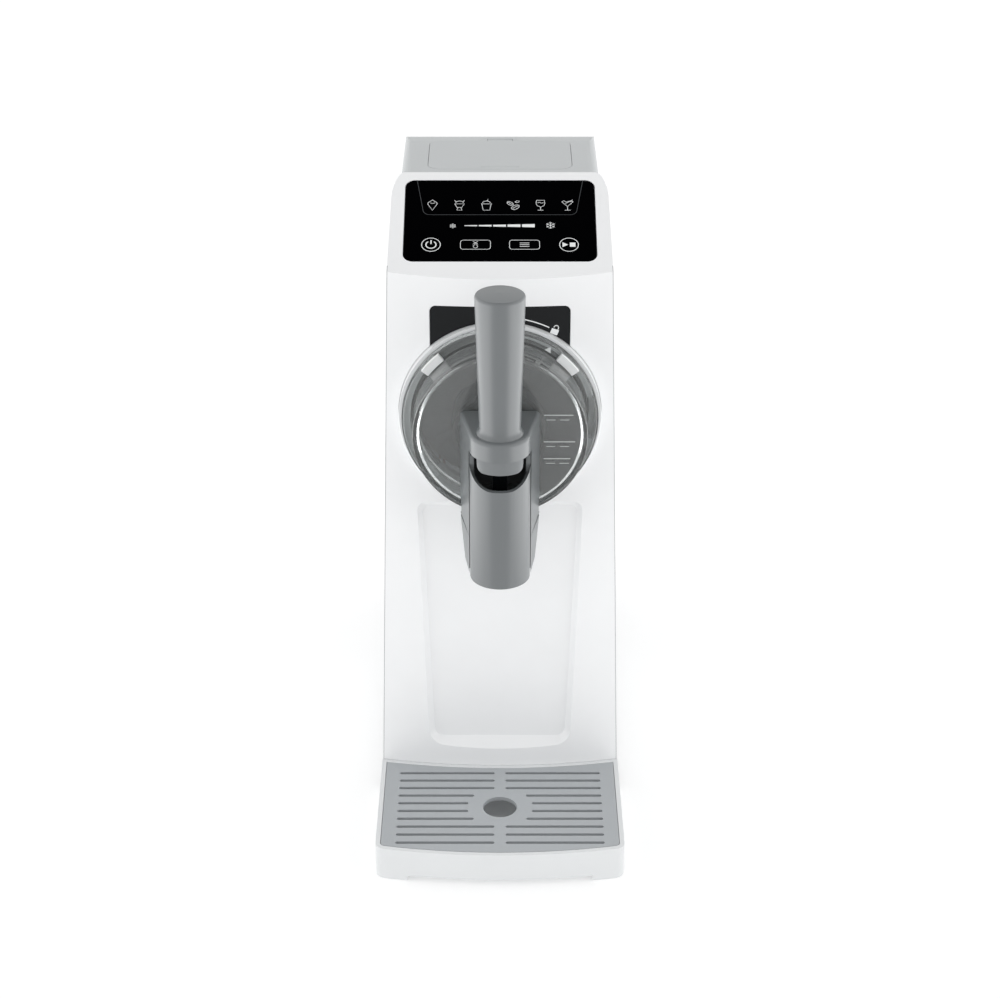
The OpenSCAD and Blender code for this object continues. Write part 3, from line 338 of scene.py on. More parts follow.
# each finish: what it is, how its surface was made and what that gives the eye; grain and depth in mm
finishes = {
    # injection-moulded ABS, satin: spark-eroded skin too fine to see, light slightly blurred
    "abs_moulded_white": {"colour": "#e3e5e6", "rough": 0.36, "ior": 1.5, "grain": 0.9, "depth": 0.006},
    # injection-moulded ABS with a fine grain that dulls the light on the deck
    "abs_moulded_deck_grey": {"colour": "#c0c3c4", "rough": 0.5, "ior": 1.5, "grain": 0.7, "depth": 0.02},
    # injection-moulded ABS, half gloss: soft streaks of light down the round parts of the tap
    "abs_moulded_tap_grey": {"colour": "#696d6f", "rough": 0.28, "ior": 1.75, "grain": 1.2, "depth": 0.003},
    # the same resin, paler and more matt, so that the bars stand out from their slots
    "abs_moulded_grille_grey": {"colour": "#b0b4b7", "rough": 0.45, "ior": 1.5, "grain": 0.7, "depth": 0.012},
    # polished tool: dark with a clear, narrow gloss
    "abs_moulded_black": {"colour": "#151719", "rough": 0.2, "ior": 1.3, "grain": 1.2, "depth": 0.002},
    # tempered glass over an opaque black print: even and deep, mirror-smooth
    "glass_backprinted_black": {"colour": "#010102", "rough": 0.05, "ior": 1.22, "grain": 40, "depth": 0.0},
    # screen-printed ink: flat, matt and crisp at its edges, in four strengths
    "ink_screenprinted_white": {"colour": "#eef0f0", "rough": 0.5, "ior": 1.5, "grain": 0.3, "depth": 0.002},
    "ink_screenprinted_level": {"colour": "#c4c8c7", "rough": 0.5, "ior": 1.5, "grain": 0.3, "depth": 0.002},
    "ink_screenprinted_grey": {"colour": "#e0e3e3", "rough": 0.5, "ior": 1.5, "grain": 0.3, "depth": 0.002},
    "ink_screenprinted_dim": {"colour": "#3c3f41", "rough": 0.5, "ior": 1.3, "grain": 0.3, "depth": 0.002},
    # copolyester moulded against a blasted insert: milky, with no reflections
    "copolyester_frosted": {"colour": "#eceeee", "rough": 0.55, "ior": 1.57, "grain": 0.4, "depth": 0.02},
    # moulded silicone: soft, slightly waxy white
    "silicone_moulded_white": {"colour": "#d8d9d7", "rough": 0.6, "ior": 1.43, "grain": 0.5, "depth": 0.01},
    # natural polypropylene: warm white with a dull skin
    "polypropylene_natural": {"colour": "#d9d9d3", "rough": 0.5, "ior": 1.49, "grain": 0.8, "depth": 0.01},
    # moulded acetal: dark, smooth and a little greasy in its gloss
    "pom_moulded_dark": {"colour": "#17191a", "rough": 0.34, "ior": 1.48, "grain": 1.2, "depth": 0.0},
    # moulded nylon: plain black, with its gloss worn to a dull sheen
    "nylon_moulded_black": {"colour": "#161616", "rough": 0.5, "ior": 1.53, "grain": 0.6, "depth": 0.01},
    # moulded rubber: deep matt black with a dry grain
    "rubber_moulded_black": {"colour": "#1b1b1b", "rough": 0.75, "ior": 1.52, "grain": 0.5, "depth": 0.05},
    # brushed stainless steel: fine lines that draw each highlight out
    "steel_brushed": {"colour": "#b9bcbf", "rough": 0.28, "metal": 1.0, "grain": 0.25, "depth": 0.006,
                      "stretch": 30},
    # bead-blasted stainless steel: even and dim, with no lines
    "steel_blasted": {"colour": "#75797b", "rough": 0.5, "metal": 1.0, "grain": 0.8, "depth": 0.0},
    # hot-dip galvanised sheet: broad, cool spangle
    "steel_galvanised": {"colour": "#a9adb0", "rough": 0.42, "metal": 1.0, "grain": 6, "depth": 0.01},
    # stoved black enamel on drawn steel: deep and glossy, with a slight orange peel
    "steel_black_enamel": {"colour": "#101112", "rough": 0.3, "ior": 1.5, "grain": 1.5, "depth": 0.01},
    # rolled aluminium: pale lines along the rolling
    "aluminium_rolled": {"colour": "#c9cccf", "rough": 0.38, "metal": 1.0, "grain": 0.4, "depth": 0.008,
                         "stretch": 20},
    # drawn copper tube: warm metal with lines along the draw
    "copper_drawn": {"colour": "#b8734e", "rough": 0.3, "metal": 1.0, "grain": 0.4, "depth": 0.008,
                     "stretch": 12},
    # glass-fibre board under green solder resist: dark and half glossy
    "epoxy_board_green": {"colour": "#0f4a2c", "rough": 0.35, "ior": 1.55, "grain": 1.2, "depth": 0.01},
}


# faint unevenness that every moulded or rolled surface has, as shares of its own colour and roughness
skin = {"cloudsPerMetre": 28, "from": 0.3, "to": 0.7, "tint": (0.99, 1.008), "rough": (0.98, 1.03),
        "bump": 0.35}


def emptyMaterial(name):
    # a new material with nothing in it but its output and the place on the piece
    material = bpy.data.materials.new(name)
    material.use_nodes = True
    tree = material.node_tree
    tree.nodes.clear()
    return material, tree, addNode(tree, "ShaderNodeOutputMaterial"), addNode(tree, "ShaderNodeTexCoord")


def makeFinish(name, spec):
    material, tree, out, place = emptyMaterial(name)
    mapping = addNode(tree, "ShaderNodeMapping", inputs={"Scale": (1, 1, 1 / spec.get("stretch", 1))},
                      links={"Vector": (place, "Object")})
    grain = addNode(tree, "ShaderNodeTexNoise", links={"Vector": (mapping, "Vector")}, inputs={
        "Scale": 1000 / spec["grain"], "Detail": 2, "Roughness": 0.55})
    cloud = addNode(tree, "ShaderNodeTexNoise", links={"Vector": (place, "Object")}, inputs={
        "Scale": skin["cloudsPerMetre"], "Detail": 3, "Roughness": 0.6})
    bump = addNode(tree, "ShaderNodeBump", inputs={"Strength": skin["bump"], "Distance": spec["depth"] * mm},
                   links={"Height": (grain, "Fac")})
    base = linear(spec["colour"])
    tint = addNode(tree, "ShaderNodeValToRGB", links={"Fac": (cloud, "Fac")})
    for element, at, share in zip(tint.color_ramp.elements, (skin["from"], skin["to"]), skin["tint"]):
        element.position = at
        element.color = [min(c * share, 1) for c in base[:3]] + [1]
    low, high = (min(spec["rough"] * share, 1) for share in skin["rough"])
    rough = addNode(tree, "ShaderNodeMapRange", links={"Value": (cloud, "Fac")}, inputs={
        "From Min": skin["from"], "From Max": skin["to"], "To Min": low, "To Max": high})
    shader = addNode(tree, "ShaderNodeBsdfPrincipled", inputs={"Metallic": spec.get("metal", 0.0)}, links={
        "Base Color": (tint, "Color"), "Roughness": (rough, "Result"), "Normal": (bump, "Normal")})
    if "ior" in spec:
        shader.inputs["IOR"].default_value = spec["ior"]
    tree.links.new(shader.outputs["BSDF"], out.inputs["Surface"])
    return material


# polished copolyester: clear through, its thickness showing only at the edges
clearResin = {"colour": "#eef1f1", "rough": 0.015, "ior": 1.45, "clear": 0.9, "flowsPerMetre": 9,
              "flowDepth": 0.02}


def makeClear(name):
    material, tree, out, place = emptyMaterial(name)
    flow = addNode(tree, "ShaderNodeTexNoise", inputs={"Scale": clearResin["flowsPerMetre"], "Detail": 1},
                   links={"Vector": (place, "Object")})
    bump = addNode(tree, "ShaderNodeBump", links={"Height": (flow, "Fac")}, inputs={
        "Strength": 0.03, "Distance": clearResin["flowDepth"] * mm})
    shader = addNode(tree, "ShaderNodeBsdfPrincipled", links={"Normal": (bump, "Normal")}, inputs={
        "Base Color": linear(clearResin["colour"]), "Roughness": clearResin["rough"],
        "IOR": clearResin["ior"], "Transmission Weight": clearResin["clear"]})
    tree.links.new(shader.outputs["BSDF"], out.inputs["Surface"])
    return material


# the front moulding: its white, a paler copy of the same resin as painted light, and the painted shade of a
# grey band along its tapered side edges, where the front meets the side mouldings, in mm and degrees
frontPaintedLightAndShade = {"colour": "#f4f5f6", "line": "#989c9e", "half": 84.4, "taper": 0.02989, "wide": 0.4, "lean": 2.0,
             "behind": -84.6}
mixFrom, mixTo, mixOut = 6, 7, 2  # the colour sockets of a Mix node


def makeFrontPaintedLightAndShade(name):
    # the white resin in a paler copy, painted light for a front that the tent lights less than the flanks,
    # with painted shade in a grey band where the front meets the side mouldings
    material = makeFinish(name, {**finishes["abs_moulded_white"], "colour": frontPaintedLightAndShade["colour"]})
    tree = material.node_tree
    shader = next(node for node in tree.nodes if node.type == "BSDF_PRINCIPLED")
    plain = shader.inputs["Base Color"].links[0].from_node
    half, wide = frontPaintedLightAndShade["half"] * mm, frontPaintedLightAndShade["wide"] * mm
    back = -math.tan(math.radians(frontPaintedLightAndShade["lean"]))
    place = addNode(tree, "ShaderNodeTexCoord")
    parts = addNode(tree, "ShaderNodeSeparateXYZ", links={"Vector": (place, "Object")})
    sideways = addNode(tree, "ShaderNodeMath", {"operation": "ABSOLUTE"}, links={0: (parts, "X")})
    taper = addNode(tree, "ShaderNodeMath", {"operation": "MULTIPLY"}, {1: frontPaintedLightAndShade["taper"]},
                    {0: (parts, "Z")})
    reach = addNode(tree, "ShaderNodeMath", {"operation": "ADD"},
                    links={0: (sideways, "Value"), 1: (taper, "Value")})
    edge = addNode(tree, "ShaderNodeMapRange", inputs={"From Min": half, "From Max": half + wide},
                   links={"Value": (reach, "Value")})
    lean = addNode(tree, "ShaderNodeMath", {"operation": "MULTIPLY"}, {1: back}, {0: (parts, "Z")})
    depth = addNode(tree, "ShaderNodeMath", {"operation": "ADD"}, links={0: (parts, "Y"), 1: (lean, "Value")})
    ahead = addNode(tree, "ShaderNodeMath", {"operation": "LESS_THAN"}, {1: frontPaintedLightAndShade["behind"] * mm},
                    {0: (depth, "Value")})
    both = addNode(tree, "ShaderNodeMath", {"operation": "MULTIPLY"},
                   links={0: (edge, "Result"), 1: (ahead, "Value")})
    # painted shade: the grey band is mixed into the colour along the side edges, ahead of the seam
    paintedShadeMix = addNode(tree, "ShaderNodeMix", {"data_type": "RGBA"}, {mixTo: linear(frontPaintedLightAndShade["line"])},
                   {"Factor": (both, "Value"), mixFrom: (plain, "Color")})
    tree.links.new(paintedShadeMix.outputs[mixOut], shader.inputs["Base Color"])
    return material


materials = {name: makeFinish(name, spec) for name, spec in finishes.items()}
# the front's material: painted light in its paler white and painted shade along its side edges
materials["abs_white_front_painted_light_and_shade"] = makeFrontPaintedLightAndShade("abs_white_front_painted_light_and_shade")
materials["copolyester_polished_clear"] = makeClear("copolyester_polished_clear")

slotFinish = {
    "white_shell": "abs_moulded_white", "grey_deck": "abs_moulded_deck_grey",
    "grille_plastic": "abs_moulded_grille_grey", "grey_plastic": "abs_moulded_tap_grey",
    "black_glass": "glass_backprinted_black", "black_plastic": "abs_moulded_black",
    "clear_plastic": "copolyester_polished_clear", "frosted_plastic": "copolyester_frosted",
    "white_silicone": "silicone_moulded_white", "inner_plastic": "polypropylene_natural",
    "auger_plastic": "pom_moulded_dark", "fan_plastic": "nylon_moulded_black", "steel": "steel_brushed",
    "zinc_sheet": "steel_galvanised", "black_enamel": "steel_black_enamel",
    "aluminium_fins": "aluminium_rolled", "copper": "copper_drawn", "circuit_board": "epoxy_board_green",
    "black_rubber": "rubber_moulded_black"}
# pieces whose finish differs from the rest of their slot
nodeFinish = {"valve_piston": "abs_moulded_black", "cold_drum": "steel_blasted",
              # the front panel takes the material with painted light and painted shade
              "vessel_bulkhead": "pom_moulded_dark", "front_panel": "abs_white_front_painted_light_and_shade"}


def finishOf(node):
    return materials[nodeFinish.get(node) or slotFinish[slotOf(node)]]


for node, solid in frame["nodes"].items():
    for place in solid.material_slots:
        place.material = finishOf(node)
print("finishes made:", len(materials))


# node, piece name, edge radius in mm, steps in the radius
mouldings = [
    ("front_panel", "frontShell", 1.5, 3),
    ("left_side_panel", "leftFlank", 0.8, 2),
    ("right_side_panel", "rightFlank", 0.8, 2),
    ("rear_cover", "rearShell", 0.7, 2),
    ("top_cover", "topDeck", 0.9, 3),
    ("fill_hatch", "fillLid", 0.5, 2),
    ("control_glass", "touchGlass", 0.35, 2),
    ("lock_plate", "lockPlate", 0.3, 2),
    ("clear_vessel", "mixVessel", 0.5, 2),
    ("drip_tray", "dripBasin", 1.2, 3),
    ("drip_grille", "dripGrid", 0.4, 2),
    ("cord_bushing", "cordBushing", 0.5, 2),
]
for node, name, radius, steps in mouldings:
    moulded(solidCopy(node, name), node, radius, steps)
print("mouldings rounded:", len(mouldings))


# the collar stands proud of the leaning front, and the tabs turn round the flange, in mm and degrees
ringFit = {"proud": 3.0, "lean": 2.0, "front": -96.0, "level": 200, "round": 0.7}
tabFit = {"axisZ": 298.5, "turn": 4.5, "round": 0.5}


def makeRing():
    # the collar's front is cut back to the panel's lean, so it stands equally proud all round
    lean, level = ringFit["lean"], ringFit["level"]
    front = ringFit["front"] - ringFit["proud"] + level * math.tan(math.radians(lean))
    tool = placed(block((-120, -40, -200), (120, 0, 300)), (0, front, level), (-lean, 0, 0))
    ring = worked(solidCopy("vessel_collar", "vesselRing"), tool, "DIFFERENCE")
    moulded(cleaned(ring), "vessel_collar", ringFit["round"], 3)


def makeTabs():
    # each tab is turned a little further round the flange
    tabs = solidCopy("release_tab", "flangeTabs")
    middle = (0, 0, tabFit["axisZ"] * mm)
    for side in (-1, 1):
        pickVertices(tabs, lambda at: at.x * side > 0)
        turn = -side * math.radians(tabFit["turn"])
        bpy.ops.transform.rotate(value=turn, orient_axis="Y", center_override=middle)
        bpy.ops.object.mode_set(mode="OBJECT")
    moulded(tabs, "release_tab", tabFit["round"], 2)


makeRing()
makeTabs()
print("ring and tabs fitted")

# the tap in mm: one round front, slanted flanks back to the vessel, and a window that the lever's hub fills
tap = {"centreY": -147.48, "radius": 19.5, "backHalf": 26.0, "backY": -113.98, "wall": 3.2, "foot": 214.0,
       "top": 305.2, "lowHalf": 23.2, "lowBackY": -123.98, "shoulder": 241.8, "lap": 0.02, "cavityFoot": 265.4,
       "bore": 13.0, "portRadius": 6.0, "portZ": 252.4, "edge": 0.3,
       "windowLow": 284.5, "windowHigh": 330.0, "windowHalf": 20.2, "windowCorner": 15.0,
       "axisZ": 298.5, "rimOuter": 61.2, "rimInner": 54.2, "rimFront": -116.28,
       "pivotZ": 304.0, "pinRadius": 2.55, "pinHalf": 19.0, "earRadius": 4.1, "earFrom": 15.7, "earTo": 17.9,
       "lineFrom": 19.5, "lineWide": 0.5, "lineBack": -139.0}
cornerTurn = 10  # degrees that each back corner turns past its quarter, to meet the slanted flank


def tapPlan(half, backY, inset=0.0, corner=0.0):
    # back corners, then the round front between the two points where the flanks touch it
    centreY, radius = tap["centreY"], tap["radius"] - inset
    x, y = half - inset, backY - centreY
    touchAngle = math.degrees(math.atan2(y, x) - math.acos(radius / math.hypot(x, y)))
    back = [(x, backY), (-x, backY)]
    if corner:
        cx, cy = x - corner * 1.1, backY - corner
        back = (arcPoints(cx, cy, corner, -cornerTurn, 90, 6)
                + arcPoints(-cx, cy, corner, 90, 180 + cornerTurn, 6))
    return back + arcPoints(0, centreY, radius, 180 - touchAngle, 360 + touchAngle, 40)


def across(radius, nearX, farX):
    # a round bar through the lever's pin axis, between two distances from the middle
    low, high = sorted((nearX, farX))
    return rod(radius, low, high, "X", (tap["centreY"], tap["pivotZ"]), 40)


def windowPlan():
    low, high, half, corner = tap["windowLow"], tap["windowHigh"], tap["windowHalf"], tap["windowCorner"]
    return ([(half, high), (-half, high)] + arcPoints(corner - half, low + corner, corner, 180, 270, 12)
            + arcPoints(half - corner, low + corner, corner, 270, 360, 12))


def makeSpout():
    centreY, axisZ, foot, top = tap["centreY"], tap["axisZ"], tap["foot"], tap["top"]
    backHalf, backY, rimFront = tap["backHalf"], tap["backY"], tap["rimFront"]
    shell = slab(tapPlan(backHalf, backY), tap["shoulder"], top)
    lower = slab(tapPlan(backHalf, rimFront), foot, tap["shoulder"] + tap["lap"])
    pickVertices(lower, lambda at: at.z < foot + 1 and at.y > centreY + 10)  # the back corners at the foot
    bpy.ops.transform.resize(value=(tap["lowHalf"] / backHalf, 1, 1), center_override=(0, 0, 0))
    bpy.ops.transform.translate(value=(0, (tap["lowBackY"] - rimFront) * mm, 0))
    bpy.ops.object.mode_set(mode="OBJECT")
    worked(shell, lower, "UNION")
    ring = rod(tap["rimOuter"], rimFront, backY + 2, "Y", (0, axisZ), 128)
    worked(ring, rod(tap["rimInner"], rimFront - 1, backY + 3, "Y", (0, axisZ), 128), "DIFFERENCE")
    worked(shell, ring, "DIFFERENCE")
    worked(shell, rod(tap["bore"], foot - 1, top + 1, "Z", (0, centreY)), "DIFFERENCE")
    inside = tapPlan(backHalf, backY - tap["wall"], tap["wall"])
    worked(shell, slab(inside, tap["cavityFoot"], top + 5), "DIFFERENCE")
    worked(shell, rod(tap["portRadius"], centreY, backY + 1, "Y", (0, tap["portZ"])), "DIFFERENCE")
    window = placed(inkPatch(windowPlan(), tap["radius"] + 2), (0, centreY, 0), (90, 0, 0))
    worked(shell, window, "DIFFERENCE")
    for side in (-1, 1):
        worked(shell, across(tap["earRadius"], side * tap["earFrom"], side * tap["earTo"]), "UNION")
        near, far = sorted((side * tap["lineFrom"], side * (tap["lineFrom"] + tap["lineWide"])))
        worked(shell, block((near, -170, 200), (far, tap["lineBack"], top - 1)), "DIFFERENCE")
    worked(shell, across(tap["pinRadius"], -tap["pinHalf"], tap["pinHalf"]), "DIFFERENCE")
    shell.name = "spoutShell"
    moulded(cleaned(shell), "spout_body", tap["edge"], 2, smooth=5, even=False)


# the lever in mm: a hollow cap over the tap, a hub that fills the tap's window, and the solid's own arms
lever = {"foot": 305.5, "top": 318.0, "wall": 2.6, "roof": 313.5, "backGap": 0.8, "corner": 3.0, "edge": 0.3,
         "hubHalf": 15.3, "hubLow": 296.5, "hubTop": 317.0, "hubBack": 9.0, "hubCorner": 4.0, "hubDraft": 0.8,
         "hubStep": 0.45, "yokeHalf": 5.5, "yokeFront": 7, "yokeBack": 24,
         "earGap": 0.4, "earFrom": 15.25, "earTo": 18.2,
         "springRadius": 4.7, "springFrom": 9.0, "springTo": 15.3, "screwRadius": 2.05, "screwClear": 8,
         "rimRoll": 2.4, "rollSteps": 5}


def isCapRim(a, b):
    # the outline of the lever cap's top face, without the screw's hole
    fromScrew = math.hypot(a.x, a.y - tap["centreY"])
    return min(a.z, b.z) > lever["top"] - 0.1 and fromScrew > lever["screwClear"]


def makeLever():
    centreY, pinHalf = tap["centreY"], tap["pinHalf"]
    roof, wall, top = lever["roof"], lever["wall"], lever["top"]
    back = tap["backY"] - lever["backGap"]
    cap = slab(tapPlan(tap["backHalf"], back, 0, lever["corner"]), lever["foot"], top)
    worked(cap, slab(tapPlan(tap["backHalf"], back - wall, wall), lever["foot"] - 5, roof), "DIFFERENCE")
    half, low, high, corner = lever["hubHalf"], lever["hubLow"], lever["hubTop"], lever["hubCorner"]
    bend, behind = corner - half + lever["hubDraft"], lever["hubBack"]
    face = ([(half, high), (-half, high)] + arcPoints(bend, low + corner, corner, 180, 270, 6)
            + arcPoints(-bend, low + corner, corner, 270, 360, 6))
    hub = placed(inkPatch(face, tap["radius"] + behind), (0, centreY + behind, 0), (90, 0, 0))
    front = rod(tap["radius"] - lever["hubStep"], low - 1, high + 0.5, "Z", (0, centreY), 96)
    worked(hub, front, "INTERSECT")
    arms = solidCopy("tap_lever", "arms")
    worked(arms, block((-60, -260, 200), (60, -60, low)), "DIFFERENCE")
    worked(arms, block((-60, -260, roof + 1), (60, -60, 400)), "DIFFERENCE")
    worked(cap, hub, "UNION")
    worked(cap, arms, "UNION")
    yoke = block((-lever["yokeHalf"], centreY - lever["yokeFront"], 200),
                 (lever["yokeHalf"], centreY + lever["yokeBack"], roof))
    worked(cap, yoke, "DIFFERENCE")
    worked(cap, across(tap["pinRadius"], -pinHalf, pinHalf), "DIFFERENCE")
    for side in (-1, 1):
        ear = across(tap["earRadius"] + lever["earGap"], side * lever["earFrom"], side * lever["earTo"])
        worked(cap, ear, "DIFFERENCE")
        spring = across(lever["springRadius"], side * lever["springFrom"], side * lever["springTo"])
        worked(cap, spring, "DIFFERENCE")
    worked(cap, rod(lever["screwRadius"], roof - 1, top + 1, "Z", (0, centreY), 32), "DIFFERENCE")
    cap.name = "leverCap"
    rolled = (isCapRim, lever["rimRoll"], lever["rollSteps"])
    moulded(cleaned(cap), "tap_lever", lever["edge"], 2, rolled=rolled, smooth=24, even=False)


makeSpout()
makeLever()
print("tap shaped")

# the grip in mm, turned about the tap's own axis
handle = {"footRadius": 13.3, "topRadius": 15.8, "foot": 318.0, "length": 95.0, "edge": 2.0, "dome": 1.0,
          "hole": 2.2, "flareHigh": 4.6, "tip": 0.02}
# the flare at the handle's foot: how far out from the grip, and how high above the cap
flare = [(1.8, 0), (1.6, 0.5), (1.0, 1.3), (0.4, 2.3), (0.1, 3.4), (0, handle["flareHigh"])]


def makeHandle():
    foot, top = handle["foot"], handle["foot"] + handle["length"]
    low, wide, edge, dome = handle["footRadius"], handle["topRadius"], handle["edge"], handle["dome"]
    shoulder, start = top - dome - edge, foot + handle["flareHigh"]
    profile = [(handle["hole"], foot)] + [(low + out, foot + up) for out, up in flare]
    profile += [(low + (wide - low) * k / 6, start + (shoulder - start) * k / 6) for k in range(1, 7)]
    profile += arcPoints(wide - edge, shoulder, edge, 15, 75, 4)
    profile += [(wide - edge, top - dome), (wide * 0.6, top - dome * 0.55), (wide * 0.3, top - dome * 0.15),
                (handle["tip"], top)]
    grip = placed(turned("handleGrip", profile), (0, tap["centreY"], 0))
    dress(grip, materials["abs_moulded_tap_grey"], "lever")
    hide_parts("tap_handle")


makeHandle()
print("handle turned")


# the touch print, in mm and degrees from the middle of the sloped glass
touch = {"slope": 23.5, "rearEdge": (10.0, 435.0), "centreDown": 46.0, "line": 0.5, "fine": 0.36, "mark": 0.8,
         "dash": 0.45, "border": 0.4, "rowIcons": 14.2, "rowBar": -5.2, "rowKeys": -22.8, "iconPitch": 17.9,
         "keyPitch": 45.0, "keyRadius": 6.1, "boxAt": 16, "barFrom": -23.4, "barPitch": 9.46, "barLong": 8.4,
         "barLow": 0.3, "barGrow": 0.24}


def onGlass(piece):
    # tilts a print with the sloped glass and lays it there
    tilt = math.radians(touch["slope"])
    y, z = touch["rearEdge"]
    down = touch["centreDown"]
    return placed(piece, (0, y - down * math.cos(tilt), z - down * math.sin(tilt)), (touch["slope"], 0, 0))


def shifted(points, x, y):
    return [(x + px, y + py) for px, py in points]


def iconLines():
    # each picture is a few strokes in mm about its own middle
    dome = arcPoints(0, 1.2, 2.9, 180, 0, 8, 0.95)[1:-1]
    foot = [(-1.9, -4.8), (1.9, -4.8)]
    cone = [[(-3.2, 1.2), (0, -4.9), (3.2, 1.2)],
            [(-3.2, 1.2), (-2.6, 2.7), (-1.1, 3.9), (0, 4.9), (1.1, 3.9), (2.6, 2.7), (3.2, 1.2)],
            [(-1.5, 2.1), (0.2, 1.5), (1.6, 2.2)]]
    sundae = [[(-3.2, 1.2), (-1.6, -2.2), (1.6, -2.2), (3.2, 1.2), (-3.2, 1.2)], dome,
              [(-0.9, -2.2), (-1.7, -4.8), (1.7, -4.8), (0.9, -2.2)], [(-3.4, 4.6), (-2.2, 3.1)],
              [(3.4, 4.6), (2.2, 3.1)]]
    beaker = [[(-3.1, 1.2), (-2.2, -4.8), (2.2, -4.8), (3.1, 1.2)], [(-3.6, 1.2), (3.6, 1.2)], dome,
              [(0.3, 4.0), (1.0, 5.3)]]
    bean = arcPoints(0, 0, 2.9, 0, 360, 14, 0.62)
    frontBean = [(0.8 * x - 0.6 * y + 1.2, 0.6 * x + 0.8 * y - 2.0) for x, y in bean]
    backBean = [(0.48 * y - 0.64 * x - 2.2, 0.48 * x + 0.64 * y + 1.6) for x, y in bean]
    beans = [frontBean, [(-0.6, -3.4), (1.0, -1.8), (3.0, -0.6)], backBean,
             [(-3.6, 2.8), (-2.0, 1.4), (-0.7, 0.6)],
             [(1.0, 3.2), (2.4, 4.2), (4.0, 3.8), (3.2, 2.6), (1.6, 2.4), (1.0, 3.2)]]
    bowl = [(-2.6, 4.6), (-2.9, 1.4), (-2.2, -0.6), (0, -1.9), (2.2, -0.6), (2.9, 1.4), (2.6, 4.6)]
    bowl += bowl[:1]
    goblet = [bowl, [(0, -1.9), (0, -4.6)], foot, [(-2.0, 2.2), (-0.7, 2.8), (0.7, 1.8), (2.0, 2.4)]]
    cocktail = [[(-3.8, 3.2), (0, -1.4), (3.8, 3.2)],
                [(-3.8, 3.2), (-2.4, 4.1), (-0.8, 3.0), (0.8, 3.7), (3.8, 3.2)],
                [(0, -1.4), (0, -4.6)], foot, [(-1.4, 1.6), (3.6, 5.0)]]
    return [cone, sundae, beaker, beans, goblet, cocktail]


def ray(x, y, angle, length):
    # the point that lies a length away at an angle in degrees
    return x + length * math.cos(math.radians(angle)), y + length * math.sin(math.radians(angle))


def flake(x, y, radius, width):
    # six arms, each with two short twigs
    lines = []
    for angle in range(30, 390, 60):
        lines.append(inkLine([(x, y), ray(x, y, angle, radius)], width))
        fork = ray(x, y, angle, radius * 0.55)
        for side in (-1, 1):
            lines.append(inkLine([fork, ray(*fork, angle + 50 * side, radius * 0.4)], width))
    return lines


def roundBox(x, y, halfW, halfH, corner):
    points = []
    for cx, cy, a in ((1, 1, 0), (-1, 1, 90), (-1, -1, 180), (1, -1, 270)):
        points += arcPoints(x + cx * (halfW - corner), y + cy * (halfH - corner), corner, a, a + 90, 4)
    return points + points[:1]


def makeTouchPrint():
    bright, line, fine, mark = [], touch["line"], touch["fine"], touch["mark"]
    for k, icon in enumerate(iconLines()):
        x = (k - 2.5) * touch["iconPitch"]
        bright += [inkLine(shifted(stroke, x, touch["rowIcons"]), fine) for stroke in icon]
    y = touch["rowBar"]
    bright += flake(-31.0, y - 0.2, 2.2, 0.26) + flake(33.2, y + 0.3, 3.2, 0.34)
    for k in range(5):  # a wedge of five bars that grow to the right
        left, right = (touch["barFrom"] + k * touch["barPitch"] + long for long in (0, touch["barLong"]))
        low, high = (touch["barLow"] + touch["barGrow"] * n for n in (k, k + 1))
        bright.append(inkPatch([(left, y - low), (right, y - high), (right, y + high), (left, y + low)]))
    y, x = touch["rowKeys"], touch["keyPitch"]
    for middle in (-x, x):
        bright.append(inkLine(arcPoints(middle, y, touch["keyRadius"], 0, 360, 40), line, True))
    bright.append(inkLine(arcPoints(-x, y, 3.3, 125, 415, 22), mark))  # power
    bright.append(inkLine([(-x, y + 0.6), (-x, y + 4.2)], mark))
    bright.append(inkPatch([(x - 4.3, y - 2.2), (x - 0.5, y), (x - 4.3, y + 2.2)]))  # start and stop
    bright.append(inkPatch([(x + 0.5, y - 1.9), (x + 4.2, y - 1.9), (x + 4.2, y + 1.9), (x + 0.5, y + 1.9)]))
    x = touch["boxAt"]
    for middle in (-x, x):
        bright.append(inkLine(roundBox(middle, y, 9.8, 4.2, 1.9), fine, True))
    for down in (-1.6, 0, 1.6):
        bright.append(inkLine([(x - 3.1, y + down), (x + 3.1, y + down)], touch["dash"]))
    for side in (-1.6, 1.6):  # a drop under two crossed strokes
        bright.append(inkLine([(-x + side, y + 3.1), (-x - side, y + 0.4)], fine))
    drop = [(0, 0.9), (-1.5, -1.3), (-1.0, -2.7), (0, -3.1), (1.0, -2.7), (1.5, -1.3), (0, 0.9)]
    bright.append(inkLine(shifted(drop, -x, y), fine, True))
    pictures = onGlass(joined(bright, "touchPrint"))
    dress(pictures, materials["ink_screenprinted_white"], "housing")
    left, right = arcPoints(-46.4, 9.6, 4.5, 190, 270, 4), arcPoints(46.4, 9.6, 4.5, 270, 350, 4)
    border = [(-55.4, 38.0), (-50.9, 9.4)] + left + right + [(50.9, 9.4), (55.4, 38.0)]
    edging = onGlass(joined([inkLine(border, touch["border"])], "touchBorder"))
    dress(edging, materials["ink_screenprinted_dim"], "housing")


makeTouchPrint()
print("touch print drawn")


# the marks on the lock plate, the flange and the vessel, in mm and degrees about the vessel's axis
marks = {"axisZ": 298.5, "frontFoot": -96.0, "lean": 2.0, "bow": 430.0, "plateSkin": 0.2, "skin": 0.02,
         "patchThick": 0.1, "arcRadius": 70.6, "arcFrom": 63.0, "arcTo": 84.5, "arcLine": 0.75,
         "lockAngle": 59.5, "lockTilt": -22, "lockLine": 0.55, "flangeFront": -92.0, "faceFront": -113.98,
         "arrowRadius": 60.6, "arrowAngle": 58.5, "longLine": 0.7, "shortLine": 0.5, "shortDown": 3.4,
         "shortLong": 6.0}
# height above the axis, left end and right end of each level mark
levelRows = [(15.1, 28.5, 47.5), (-4.1, 28.5, 49.0), (-16.4, 28.5, 46.0)]


